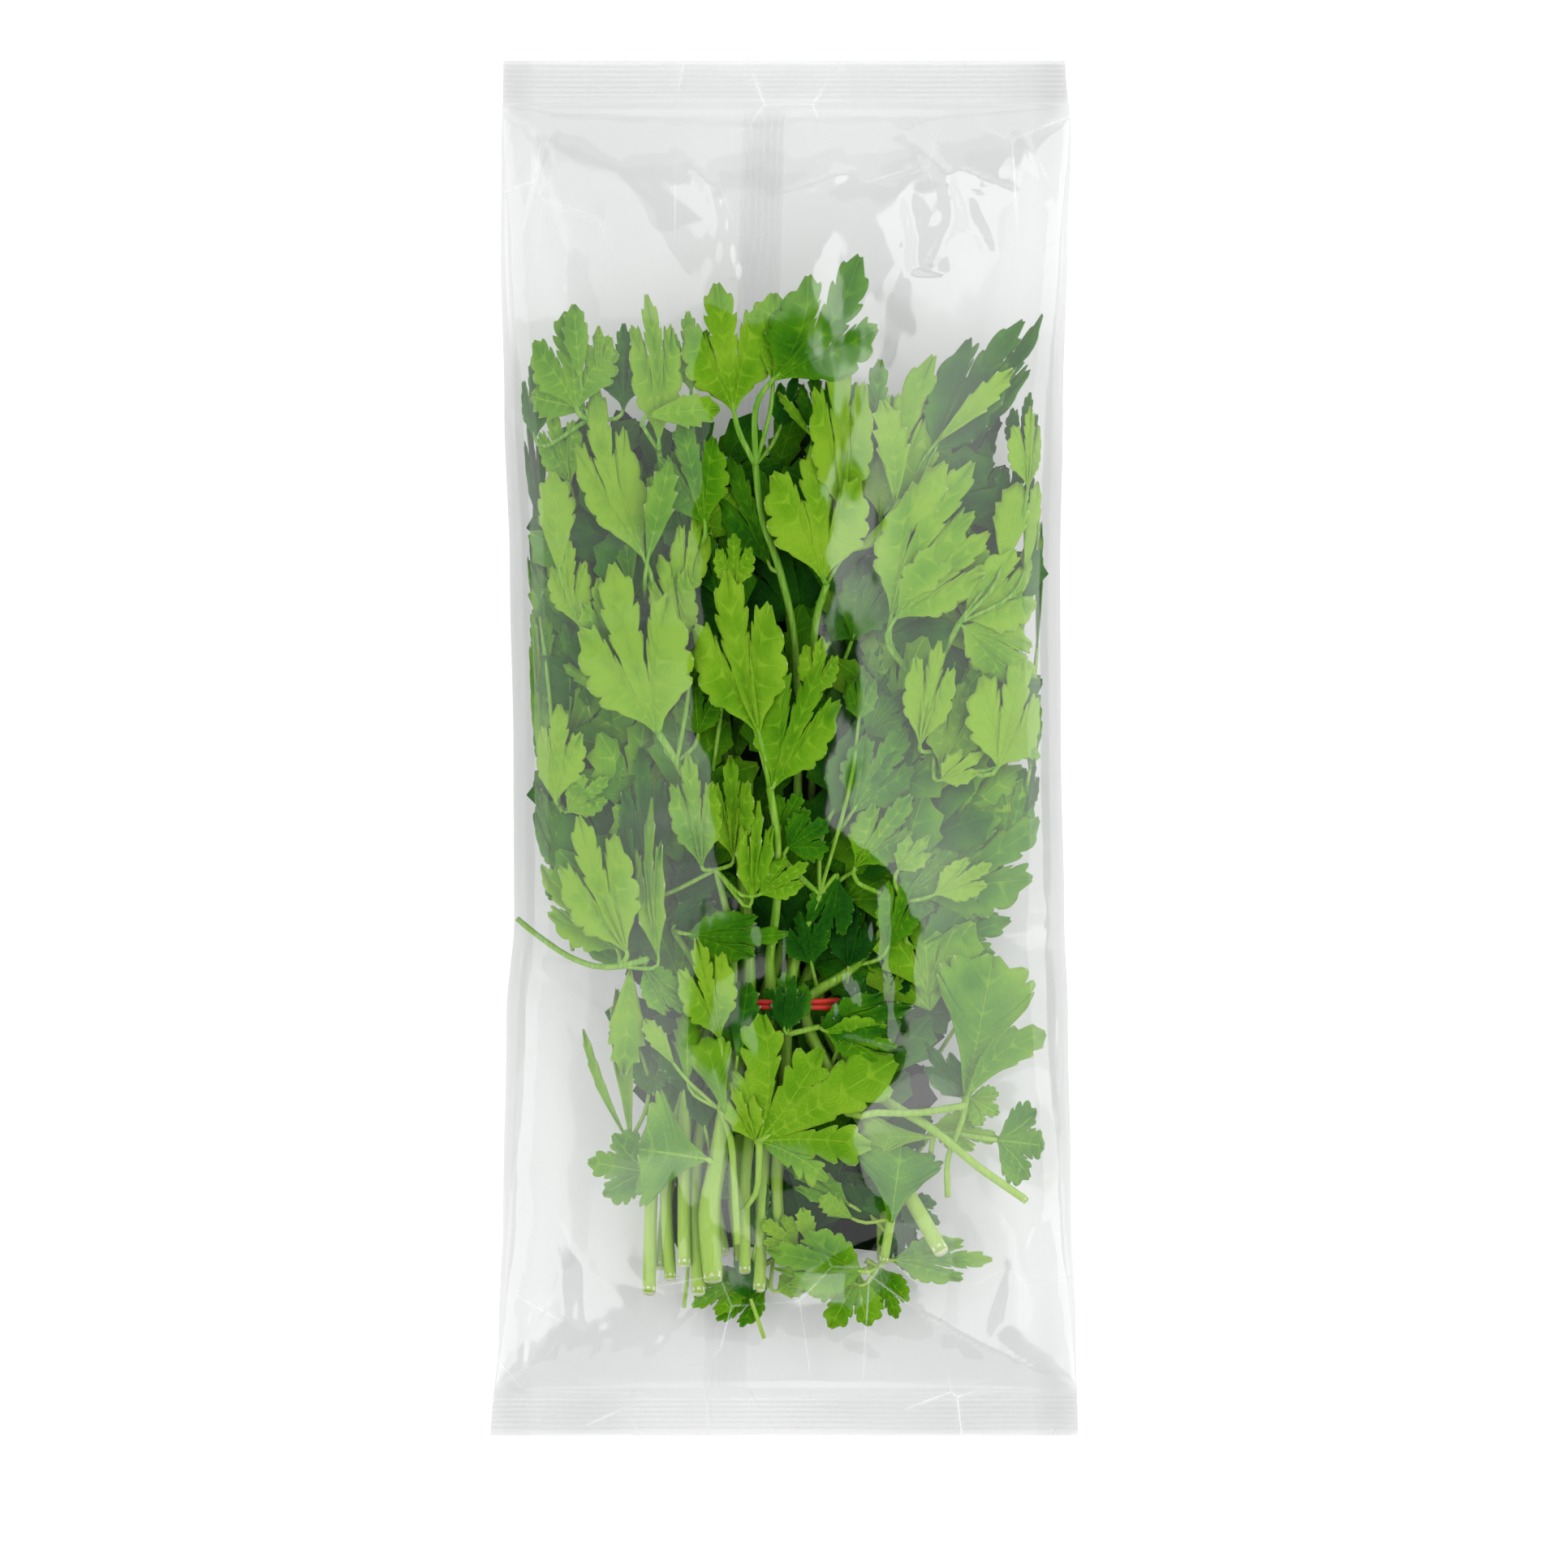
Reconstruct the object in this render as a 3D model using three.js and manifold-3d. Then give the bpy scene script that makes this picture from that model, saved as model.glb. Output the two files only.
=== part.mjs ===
// A bunch of flat-leaf parsley, held by a rubber band and sealed in a clear film bag.
// Millimetres, +Z up. The bag lies on its back: +Y points from the cut stems to the leaf tips,
// and the origin is on the table under the middle of the bag.
import * as THREE from "three";
import { mergeVertices } from "three/addons/utils/BufferGeometryUtils.js";
import Module from "manifold-3d";

const wasm = await Module();
wasm.setup();

// ---- Driving dimensions ----------------------------------------------------------------------
const BAG_LENGTH = 389;
const SEAL_DEPTH = 12; // crimped band across each end
const FILM = 0.5; // film wall, drawn thicker than real film
const BAG_HEIGHT = 37; // over the fullest part
const FOLD_HEIGHT = 12; // side folds above the table, mid bag
const SEAL_HEIGHT = 2; // end seals above the table
const FIN_WIDTH = 12; // lengthwise back seal, folded flat
const VENT_RADIUS = 0.75;
const BLADE = 0.62; // leaf blade thickness
const BLADE_ARCH = 0.5; // how far a blade's middle stands above its edges
const LAYERS = 13; // leaf layers between the two film walls
const FILM_CLEARANCE = 1.3;
const STEM_SIDES = 5;
const STALK_SUNK = 1; // a leaflet's stalk ends this far inside its stem
const STALK_STEP = 0.7;
const TIE_Y = -72; // rubber band, along the bag
const TIE_X = -4.8; // middle of the tied stems
const TIE_Z = 18.4;
const BAND_HALF_WIDTH = 19.5; // inside of the band
const BAND_HALF_HEIGHT = 8.4;
const BAND_THICKNESS = 1.6;
const BAND_WIDTH = 3.4;

// Half widths of the bag, left and right of its centre line, along its length.
const BAG_SIDES = [
  [-194.5, 83.0, 83.2],
  [-165, 80.6, 82.4],
  [-130, 79.2, 81.0],
  [-75, 78.2, 80.0],
  [-48, 76.0, 79.0],
  [0, 76.2, 78.0],
  [50, 77.2, 77.8],
  [96, 78.8, 78.6],
  [142, 80.0, 80.0],
  [172, 79.8, 81.2],
  [194.5, 79.4, 79.6],
];

// ---- Leafy stems -----------------------------------------------------------------------------
// A stem runs from its youngest fork to its cut end: [x, y, layer, radius].
// A leaflet: [base x, base y, tip x, tip y, width, layer, outline, sideways bend, stem point].
// Layer 0 lies just under the front film, layer 12 on the back film.
const LEAFY_STEMS = [
  {
    name: "stem_top_left",
    stem: [
      [-55, 92, 2.2, 0.7],
      [-47, 76, 5.2, 0.9],
      [-38, 37, 7.6, 1],
      [-27, -6, 8.6, 1.1],
      [-18, -48, 7.6, 1.3],
      [-17, -72, 6.1, 1.7],
      [-28, -97, 6.9, 1.8],
      [-33, -121, 6.6, 1.7],
      [-32, -149, 6.4, 1.6],
    ],
    leaves: [
      [-58, 95, -61, 123, 27, 1, "fan", 0, 0],
      [-56, 95, -73, 99, 11, 1.8, "blade", 0, 0],
      [-71, 87, -72, 109, 17, 3, "fan", 0, 0],
      [-45, 95, -45, 121, 14, 2.6, "fan", 0, 0],
      [-39, 53, -53, 101, 18, 0.9, "fan", 0.06, 2],
      [-38, 53, -32, 80, 9, 0.6, "blade", 0, 2],
    ],
  },
  {
    name: "stem_left_upper",
    stem: [
      [-61, 64, 5.2, 0.7],
      [-56, 37, 7, 0.9],
      [-38, -2, 9.8, 1],
      [-21, -43, 9.4, 1.2],
      [-16, -72, 7.9, 1.6],
      [-25, -96, 8.8, 1.7],
      [-32, -121, 9.2, 1.6],
      [-35, -146, 8.8, 1.5],
    ],
    leaves: [
      [-63, 50, -65, 79, 12, 1.6, "blade", 0, 1],
      [-60, 64, -57, 92, 14, 4.8, "fan", 0, 0],
      [-70, 64, -75, 95, 11, 4.4, "fan", 0, 0],
      [-43, 45, -46, 73, 10, 3.4, "blade", 0, 1],
      [-57, 34, -60, 58, 13, 2, "fan", 0.08, 1],
    ],
  },
  {
    name: "stem_top_mid",
    stem: [
      [-35, 83, 3.2, 0.7],
      [-30, 53, 5.6, 0.9],
      [-20, 16, 7.6, 1.1],
      [-12, -32, 5.8, 1.5],
      [-10, -72, 4.3, 2],
      [-15, -96, 3.2, 2.4],
      [-19, -118, 3, 2.5],
      [-21, -131, 3, 2.9],
      [-20, -149, 3.4, 2.6],
    ],
    leaves: [
      [-35, 86, -39, 129, 15, 1.6, "fan", -0.03, 0],
      [-38, 93, -17, 95, 10, 0.4, "blade", 0, 0],
      [-22, 62, -29, 92, 20, 2, "fan", 0, 1],
      [-27, 51, -31, 83, 14, 3.8, "fan", 0, 1],
      [-29, 39, -23, 69, 12, 2.4, "fan", 0, 1],
      [-22, -115, -42, -112, 34, 1.9, "wedge", 0, 6],
    ],
  },
  {
    name: "stem_top_fork",
    stem: [
      [-8, 79, 1.6, 0.9],
      [-6, 64, 2, 0.95],
      [-1, 49, 2.6, 1],
      [3, 29, 4, 1],
      [4, -2, 6.6, 1.1],
      [2, -45, 6.6, 1.4],
      [-6, -72, 6.1, 1.8],
      [-10, -97, 6.4, 1.9],
      [-14, -121, 6.8, 1.9],
      [-12, -144, 6.8, 1.8],
    ],
    leaves: [
      [-14, 94, -19, 131, 27, 1, "fan", 0, 0],
      [-3, 103, 21, 137, 30, 0.6, "fan", -0.1, 0],
      [-3, 103, -3, 128, 14, 1.2, "blade", 0, 0],
      [-1, 90, 4, 106, 10, 3.4, "round", 0, 0],
      [-4, 51, -16, 83, 18, 2.9, "fan", 0, 2],
    ],
  },
  {
    name: "stem_top_centre",
    stem: [
      [12, 46, 1.6, 0.9],
      [9, 36, 2.6, 1],
      [8, 21, 4.4, 1],
      [8, -9, 8, 1.1],
      [6, -45, 8, 1.4],
      [-1, -72, 6.1, 1.7],
      [-4, -96, 6.4, 1.8],
      [-6, -121, 6.4, 1.8],
      [-7, -152, 5.6, 1.7],
    ],
    leaves: [
      [11, 47, 8, 87, 30, 0.8, "fan", 0, 0],
      [19, 55, 46, 81, 11, 0.9, "blade", -0.1, 0],
      [17, 64, 15, 116, 18, 1.2, "fan", 0, 0],
      [8, 87, -2, 100, 3, 2, "blade", 0, 0],
      [13, 30, 26, 50, 13, 3.8, "round", 0, 2],
    ],
  },
  {
    name: "stem_top_right",
    stem: [
      [33, 62, 3.6, 0.7],
      [31, 30, 5.4, 0.9],
      [24, -9, 8.8, 1.1],
      [15, -45, 9, 1.4],
      [5, -72, 6.1, 1.7],
      [17, -96, 5.8, 1.9],
      [33, -122, 4.6, 2],
      [44, -141, 2.9, 2.1],
    ],
    leaves: [
      [27, 65, 42, 110, 25, 2.1, "round", 0.05, 0],
      [42, 83, 68, 121, 21, 3.4, "round", 0.04, 0],
      [43, 86, 64, 106, 7, 2.8, "blade", 0, 0],
      [44, 83, 75, 121, 14, 4.6, "round", 0, 0],
      [31, 69, 27, 99, 10, 1.2, "blade", -0.05, 0],
      [49, 74, 57, 97, 16, 5.6, "fan", 0, 0],
    ],
  },
  {
    name: "stem_right_upper",
    stem: [
      [49, 35, 1.9, 0.8],
      [40, 16, 6, 0.9],
      [28, -18, 9.8, 1.1],
      [20, -45, 10.2, 1.3],
      [13, -61, 9.6, 1.4],
      [8, -72, 7.9, 1.7],
      [19, -98, 8, 1.8],
      [27, -123, 7.6, 1.8],
      [28, -144, 7.6, 1.7],
    ],
    leaves: [
      [30, 37, 52, 79, 24, 1.6, "fan", 0.05, 1],
      [31, 36, 57, 60, 19, 0.7, "fan", 0, 1],
      [61, 51, 66, 74, 11, 1.3, "blade", 0, 0],
      [68, 50, 74, 75, 9, 1.6, "blade", 0, 0],
      [69, 73, 70, 97, 14, 1.4, "fan", 0, 0],
      [50, 36, 76, 53, 22, 2.7, "fan", 0, 0],
      [50, 34, 75, 18, 18, 2, "round", 0, 0],
    ],
  },
  {
    name: "stem_left_mid",
    stem: [
      [-35, 4, 0.9, 1],
      [-30, -4, 2.4, 1],
      [-22, -20, 5.6, 1],
      [-16, -45, 7, 1.3],
      [-12, -72, 6.1, 1.6],
      [-17, -97, 6.8, 1.7],
      [-20, -121, 7.4, 1.7],
      [-17, -142, 7.6, 1.6],
    ],
    leaves: [
      [-35, 4, -48, 51, 34, 0.8, "fan", 0.03, 0],
      [-43, 11, -63, 24, 4, 2.6, "blade", 0, 0],
      [-28, 28, -35, 55, 14, 1.6, "fan", 0, 1],
      [-18, 42, -21, 61, 11, 3.1, "fan", 0, 2],
      [-24, 4, -25, 19, 14, 2.9, "round", 0, 1],
      [-38, 5, -75, 53, 27, 4.8, "fan", 0, 1],
    ],
  },
  {
    name: "stem_centre",
    stem: [
      [-4, -11, 1, 1],
      [-2, -25, 1.6, 1.05],
      [-2, -43, 3.2, 1.1],
      [-4, -59, 4.2, 1.3],
      [-4, -72, 4.3, 1.7],
      [-8, -97, 4.2, 1.7],
      [-11, -121, 4.6, 1.6],
      [-11, -147, 5, 1.6],
    ],
    leaves: [
      [-7, 4, -16, 49, 27, 0.8, "fan", 0.03, 0],
      [-14, 44, -14, 61, 12, 1.4, "fan", 0, 0],
      [-3, -11, 12, 28, 24, 0.6, "fan", 0, 0],
      [8, 14, 11, 32, 12, 1.6, "fan", 0, 0],
    ],
  },
  {
    name: "stem_left_edge",
    stem: [
      [-63, -16, 3.4, 0.8],
      [-49, -32, 6, 0.9],
      [-30, -57, 8.2, 1.2],
      [-21, -72, 7, 1.5],
      [-33, -96, 7.6, 1.7],
      [-37, -121, 7.2, 1.7],
      [-38, -153, 7, 1.8],
    ],
    leaves: [
      [-64, -15, -63, 12, 18, 1.6, "fan", 0, 0],
      [-71, -3, -74, 39, 12, 3, "fan", -0.03, 0],
      [-61, -18, -49, -8, 12, 2.2, "fan", 0, 0],
      [-60, -36, -75, -9, 12, 3.4, "fan", 0, 1],
      [-70, 37, -76, 60, 8, 3.4, "fan", 0, 0],
    ],
  },
  {
    name: "stem_left_low",
    stem: [
      [-19, -34, 2.2, 0.8],
      [-15, -52, 3.9, 1.1],
      [-15, -72, 4.3, 1.5],
      [-21, -96, 5.4, 1.6],
      [-25, -121, 5.6, 1.7],
      [-24, -153, 4.9, 1.8],
    ],
    leaves: [
      [-23, -33, -27, -2, 15, 1.4, "fan", 0, 0],
      [-14, -31, -15, -2, 14, 1.8, "fan", 0, 0],
      [-38, -38, -40, -1, 15, 3, "fan", 0, 0],
      [-9, -43, -7, -13, 11, 0.8, "fan", 0, 0],
      [-7, -41, 7, -32, 12, 0.8, "fan", 0, 0],
    ],
  },
  {
    name: "stem_centre_low",
    stem: [
      [10, -41, 3, 0.8],
      [4, -57, 4.6, 1.2],
      [1, -72, 4.3, 1.6],
      [0, -97, 4.6, 1.7],
      [-2, -121, 6, 1.6],
      [-1, -141, 6.8, 1.6],
    ],
    leaves: [
      [-1, -22, 5, -12, 13, 2.6, "round", 0, 0],
      [1, -28, 13, -20, 16, 2.2, "round", 0, 0],
      [15, -36, 10, -56, 14, 3, "fan", 0, 0],
      [13, -19, 32, 12, 18, 3.2, "fan", 0, 0],
      [24, -36, 27, -57, 16, 5.2, "fan", 0, 0],
      [21, 8, 22, 24, 10, 2.4, "round", 0, 0],
    ],
  },
  {
    name: "stem_right_mid",
    stem: [
      [42, -1, 3.8, 0.8],
      [30, -32, 7.6, 1],
      [16, -57, 7.8, 1.3],
      [10, -72, 6.1, 1.5],
      [21, -93, 5, 1.5],
      [42, -107, 1.8, 1.2],
      [54, -117, 1.4, 1.1],
      [68, -127, 2.6, 1.1],
    ],
    leaves: [
      [38, 1, 44, 32, 15, 1.2, "fan", 0, 0],
      [60, -5, 68, 28, 26, 1.2, "round", 0, 0],
      [60, -5, 77, -3, 5, 1.8, "blade", 0.2, 0],
      [44, -9, 56, -1, 10, 1.4, "round", 0, 0],
      [38, -2, 28, 22, 14, 4.4, "fan", 0, 0],
      [44, -3, 57, 14, 13, 4.3, "fan", 0, 0],
    ],
  },
  {
    name: "stem_right_low",
    stem: [
      [33, -43, 3, 0.9],
      [20, -61, 4.6, 1.3],
      [6, -72, 4.3, 1.5],
      [12, -89, 3, 1.4],
      [18, -102, 2.2, 1.3],
      [26, -102, 1.5, 1],
      [38, -102, 1.1, 1],
      [51, -100, 1.4, 1],
    ],
    leaves: [
      [20, -33, 35, -14, 17, 2.2, "fan", 0, 0],
      [32, -34, 41, -24, 10, 2, "round", 0, 0],
      [33, -42, 49, -27, 14, 2.8, "round", 0, 0],
      [40, -42, 76, -19, 30, 3.5, "round", 0, 0],
      [38, -56, 64, -48, 21, 4.2, "round", 0, 0],
      [42, -41, 59, -32, 12, 2, "fan", 0, 0],
      [29, -56, 36, -33, 13, 2.6, "fan", 0, 1],
    ],
  },
  {
    name: "stem_crossing",
    stem: [
      [-31, -51, 3.4, 0.8],
      [-24, -62, 4.3, 1.1],
      [-20, -72, 4.3, 1.5],
      [-27, -96, 4.6, 1.7],
      [-28, -121, 4.4, 1.7],
      [-28, -145, 4.2, 1.8],
    ],
    leaves: [
      [-29, -44, -19, -26, 13, 3.4, "round", 0, 0],
      [-31, -50, -19, -43, 11, 2.8, "round", 0, 0],
      [-27, -52, 1, -52, 15, 1.8, "round", -0.03, 0],
    ],
  },
  {
    name: "loose_leaf",
    stem: [
      [-38, -59, 1.2, 0.9],
      [-46, -61, 0.8, 0.85],
      [-53, -61, 1.2, 0.8],
      [-61, -58, 2.2, 0.8],
      [-70, -52, 4.4, 0.8],
      [-75, -48, 5.4, 0.8],
    ],
    leaves: [
      [-44, -57, -58, -17, 22, 1, "fan", 0.03, 1],
      [-47, -56, -70, -33, 18, 2, "round", 0, 1],
      [-45, -60, -59, -48, 10, 2.8, "round", 0, 1],
      [-40, -59, -45, -19, 13, 2.4, "fan", 0, 0],
      [-35, -59, -37, -15, 9, 1, "fan", 0.04, 1],
      [-39, -61, -24, -75, 12, 1.4, "round", -0.08, 0],
      [-43, -62, -45, -93, 11, 1.6, "blade", 0, 1],
    ],
  },
  {
    name: "low_left_leaf",
    stem: [
      [-18, -101, 1.6, 0.8],
      [-15, -109, 1.5, 0.9],
      [-14, -120, 1.6, 0.9],
      [-13, -139, 2, 0.9],
    ],
    leaves: [
      [-18, -81, -25, -51, 17, 0.8, "fan", 0, 0],
      [-16, -103, -22, -81, 13, 1, "wedge", 0, 0],
      [-27, -93, -27, -73, 8, 1.8, "blade", 0, 0],
      [-31, -88, -39, -76, 6, 1.2, "blade", 0, 0],
      [-27, -93, -37, -78, 11, 2.8, "round", 0, 0],
    ],
  },
  {
    name: "low_left_tuft",
    stem: [
      [-43, -110, 4.4, 0.8],
      [-39, -118, 3.8, 0.8],
      [-37, -128, 3.6, 0.8],
    ],
    leaves: [
      [-44, -110, -57, -77, 3, 5, "blade", 0.04, 0],
      [-43, -110, -47, -67, 6, 4.4, "blade", 0, 0],
      [-38, -97, -37, -79, 12, 5.4, "round", 0, 0],
      [-38, -119, -55, -116, 22, 3.4, "round", 0, 1],
    ],
  },
  {
    name: "star_leaf",
    stem: [
      [-7, -110, 0.8, 1],
      [-7, -116, 0.9, 0.9],
      [-8, -125, 2.2, 0.8],
      [-13, -131, 3.4, 0.8],
    ],
    leaves: [
      [-7, -110, -4, -75, 16, 0.9, "fan", 0, 0],
      [-7, -109, 7, -84, 16, 0.5, "fan", 0, 0],
      [-6, -110, 29, -88, 17, 0.9, "fan", 0, 0],
      [-6, -110, 23, -110, 14, 0.5, "fan", 0, 0],
      [-7, -111, 12, -118, 10, 1.3, "blade", 0, 0],
      [-8, -110, -14, -94, 11, 0.5, "fan", 0, 0],
    ],
  },
  {
    name: "low_right_leaf",
    stem: [
      [51, -98, 3, 1],
      [50, -104, 2.6, 0.8],
      [46, -115, 3, 0.8],
      [46, -126, 4, 0.85],
    ],
    leaves: [
      [51, -98, 59, -57, 30, 3.2, "wedge", 0, 0],
      [51, -98, 77, -80, 11, 2.4, "blade", 0.15, 0],
      [50, -98, 40, -83, 11, 4.4, "round", 0, 0],
      [52, -98, 61, -103, 13, 3.6, "round", 0, 0],
    ],
  },
  {
    name: "low_right_round",
    stem: [
      [42, -107, 4.8, 0.8],
      [35, -118, 6.6, 0.8],
      [31, -132, 8.4, 0.8],
    ],
    leaves: [
      [60, -110, 76, -112, 25, 3.4, "round", 0, 0],
      [42, -106, 61, -110, 12, 4.2, "round", 0, 0],
    ],
  },
  {
    name: "low_mid_leaf",
    stem: [
      [30, -132, 2.6, 1.2],
      [29, -138, 3, 1.25],
      [28, -144, 3.6, 1.3],
    ],
    leaves: [
      [30, -133, 33, -110, 25, 2, "wedge", 0, 0],
      [19, -132, 10, -126, 7, 4.4, "blade", 0, 0],
    ],
  },
  {
    name: "low_mid_pale",
    stem: [
      [42, -108, 3.2, 0.7],
      [41, -115, 4.4, 0.7],
    ],
    leaves: [
      [41, -109, 21, -109, 12, 2.6, "wedge", 0, 0],
    ],
  },
  {
    name: "bottom_leaf",
    stem: [
      [26, -146, 5.4, 0.9],
      [23, -144, 5.8, 0.9],
    ],
    leaves: [
      [22, -147, -3, -141, 17, 2.6, "round", 0, 0],
      [21, -151, -4, -146, 10, 3.8, "fan", 0, 0],
      [21, -149, 13, -162, 18, 4.4, "round", 0, 0],
      [27, -146, 32, -161, 12, 5.2, "fan", 0, 0],
      [30, -144, 59, -144, 14, 5.4, "fan", 0, 0],
    ],
  },
  {
    name: "bottom_left_leaf",
    stem: [
      [-3, -144, 8.6, 0.8],
      [-8, -147, 9.2, 0.8],
    ],
    leaves: [
      [-11, -149, -27, -156, 10, 8.2, "round", 0, 1],
      [-6, -153, -19, -162, 10, 9, "fan", 0, 1],
      [4, -140, -6, -133, 12, 4.6, "fan", 0, 0],
      [8, -140, 5, -129, 6, 4.2, "blade", 0, 0],
      [-2, -153, 7, -148, 9, 7.2, "fan", 0, 0],
    ],
  },
  {
    name: "tie_leaf",
    stem: [
      [1, -80, 1.6, 0.8],
      [10, -78, 2.6, 0.8],
    ],
    leaves: [
      [1, -79, 0, -62, 15, 1.6, "fan", 0, 0],
      [2, -79, 10, -65, 11, 1, "round", 0, 0],
      [10, -78, 38, -72, 14, 2.4, "round", 0, 1],
      [11, -79, 33, -84, 13, 1.8, "fan", 0, 1],
    ],
  },];

// ---- Leaf outlines ---------------------------------------------------------------------------
// Half outlines from base to tip: [share of the length, share of the width]. The first cleft
// point of a lobed leaf is where its middle lobe starts.
const OUTLINES = {
  fan: {
    half: [
      [0, 0.03], [0.42, 0.33], [0.54, 0.47], [0.57, 0.4], [0.69, 0.5], [0.71, 0.41],
      [0.83, 0.34], [0.56, 0.165], [0.86, 0.22], [0.87, 0.14],
    ],
    cleft: 7,
  },
  small_fan: {
    half: [[0, 0.05], [0.44, 0.38], [0.58, 0.5], [0.62, 0.38], [0.8, 0.38], [0.62, 0.17], [0.87, 0.22]],
    cleft: 5,
  },
  round: {
    half: [
      [0, 0.03], [0.38, 0.36], [0.5, 0.49], [0.57, 0.44], [0.72, 0.48], [0.76, 0.39],
      [0.87, 0.3], [0.64, 0.17], [0.86, 0.22], [0.95, 0.13],
    ],
    cleft: 7,
  },
  small_round: {
    half: [[0, 0.05], [0.4, 0.42], [0.56, 0.5], [0.6, 0.4], [0.8, 0.4], [0.7, 0.2], [0.92, 0.2]],
    cleft: 5,
  },
  blade: { half: [[0, 0.08], [0.3, 0.36], [0.55, 0.5], [0.66, 0.4], [0.82, 0.32]], cleft: 3 },
  wedge: {
    half: [[0, 0.04], [0.35, 0.2], [0.84, 0.5], [0.9, 0.36], [0.99, 0.24], [0.93, 0.12]],
    cleft: 3,
  },
};
const RIB_SHARES = [0.25, 0.47]; // points on the midrib that the blade's triangles meet at
const SMALL_WIDTH = 18; // narrower leaflets have fewer teeth

// ---- The bag's form --------------------------------------------------------------------------
const CAVITY_END = BAG_LENGTH / 2 - SEAL_DEPTH;
const TOP_FULLNESS = 2.6;
const BACK_FULLNESS = 3.4;
const FULLNESS_POWER = 1 / 2.2;
const BACK_DIP = 0.9; // the back is pressed this far flat on the table

function halfWidth(y, side) {
  const rows = BAG_SIDES;
  const clamped = Math.min(Math.max(y, rows[0][0]), rows[rows.length - 1][0]);
  const i = Math.max(1, rows.findIndex((r) => r[0] >= clamped));
  const t = (clamped - rows[i - 1][0]) / (rows[i][0] - rows[i - 1][0]);
  const smooth = t * t * (3 - 2 * t);
  return rows[i - 1][side] + (rows[i][side] - rows[i - 1][side]) * smooth;
}

const plump = (y) => (1 - Math.min(1, Math.abs(y) / CAVITY_END) ** 3) ** 0.6;
const foldZ = (y) => SEAL_HEIGHT + (FOLD_HEIGHT - SEAL_HEIGHT) * plump(y);
const crownZ = (y) => SEAL_HEIGHT + FILM + (BAG_HEIGHT - SEAL_HEIGHT - FILM) * plump(y);
const bulge = (share, fullness) => Math.max(0, 1 - Math.abs(share) ** fullness) ** FULLNESS_POWER;

// The film's outer faces, and its inner faces where inset is the wall.
function topZ(share, y, inset) {
  const fold = foldZ(y);
  const lip = inset ? 0 : FILM;
  return fold + lip + (crownZ(y) - fold - FILM) * bulge(share, TOP_FULLNESS);
}

function backZ(share, y, inset) {
  const fold = foldZ(y);
  const lip = inset ? 0 : FILM;
  const pressed = Math.min(1, plump(y) / 0.25);
  const depth = (fold + BACK_DIP - FILM) * pressed * bulge(share, BACK_FULLNESS);
  return Math.max(inset, fold - lip - depth);
}

function layerZ(layer, x, y) {
  const across = halfWidth(y, x < 0 ? 1 : 2) - FILM;
  const share = Math.min(0.985, Math.abs(x) / across);
  const low = backZ(share, y, FILM) + FILM_CLEARANCE;
  const high = Math.max(low + 1, topZ(share, y, FILM) - FILM_CLEARANCE);
  return high + ((low - high) * (layer + 0.25)) / LAYERS;
}

// Leaves near a side fold are turned down along it, so they reach less far out.
const FOLD_MARGIN = 4;
const FOLD_REACH = 14;
function insideFold(x, y) {
  const start = halfWidth(y, x < 0 ? 1 : 2) - FOLD_MARGIN - FOLD_REACH;
  const past = Math.abs(x) - start;
  if (past <= 0) return x;
  return Math.sign(x) * (start + FOLD_REACH * (1 - Math.exp(-past / FOLD_REACH)));
}

// ---- Solids ----------------------------------------------------------------------------------
const JOIN = 1e-3; // points closer than this are one
function closedSolid(geometry, tolerance) {
  const merged = mergeVertices(geometry, tolerance);
  return new wasm.Manifold(
    new wasm.Mesh({
      numProp: 3,
      vertProperties: new Float32Array(merged.attributes.position.array),
      triVerts: new Uint32Array(merged.index.array),
    }),
  );
}

function toSolid(points, triangles) {
  const geometry = new THREE.BufferGeometry();
  geometry.setAttribute("position", new THREE.Float32BufferAttribute(points.flat(), 3));
  geometry.setIndex(triangles.flat());
  return closedSolid(geometry, 1e-4);
}

function toGeometry(solid) {
  const mesh = solid.getMesh();
  const geometry = new THREE.BufferGeometry();
  geometry.setAttribute("position", new THREE.BufferAttribute(mesh.vertProperties, mesh.numProp));
  geometry.setIndex(new THREE.BufferAttribute(mesh.triVerts, 1));
  return geometry;
}

// A closed solid through equal rings of points, with a fan over each end ring.
function loft(rings) {
  const sides = rings[0].length;
  const points = rings.flat();
  const triangles = [];
  for (let r = 0; r + 1 < rings.length; r++)
    for (let s = 0; s < sides; s++) {
      const a = r * sides + s;
      const b = r * sides + ((s + 1) % sides);
      triangles.push([a, a + sides, b], [b, a + sides, b + sides]);
    }
  const last = (rings.length - 1) * sides;
  for (let s = 1; s + 1 < sides; s++) {
    triangles.push([0, s, s + 1], [last, last + s + 1, last + s]);
  }
  return toSolid(points, triangles);
}

// A round stem through points, with a radius for each of them.
function tube(path, radii, sides) {
  const line = path.map((p) => new THREE.Vector3(...p));
  const rings = line.map((p, i) => {
    const before = line[Math.max(0, i - 1)];
    const after = line[Math.min(line.length - 1, i + 1)];
    const along = after.clone().sub(before).normalize();
    const up = new THREE.Vector3(0, 0, 1).addScaledVector(along, -along.z).normalize();
    const side = along.clone().cross(up);
    return Array.from({ length: sides }, (_, s) => {
      const angle = (2 * Math.PI * s) / sides;
      return p
        .clone()
        .addScaledVector(up, radii[i] * Math.cos(angle))
        .addScaledVector(side, -radii[i] * Math.sin(angle))
        .toArray();
    });
  });
  return loft(rings);
}

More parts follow.
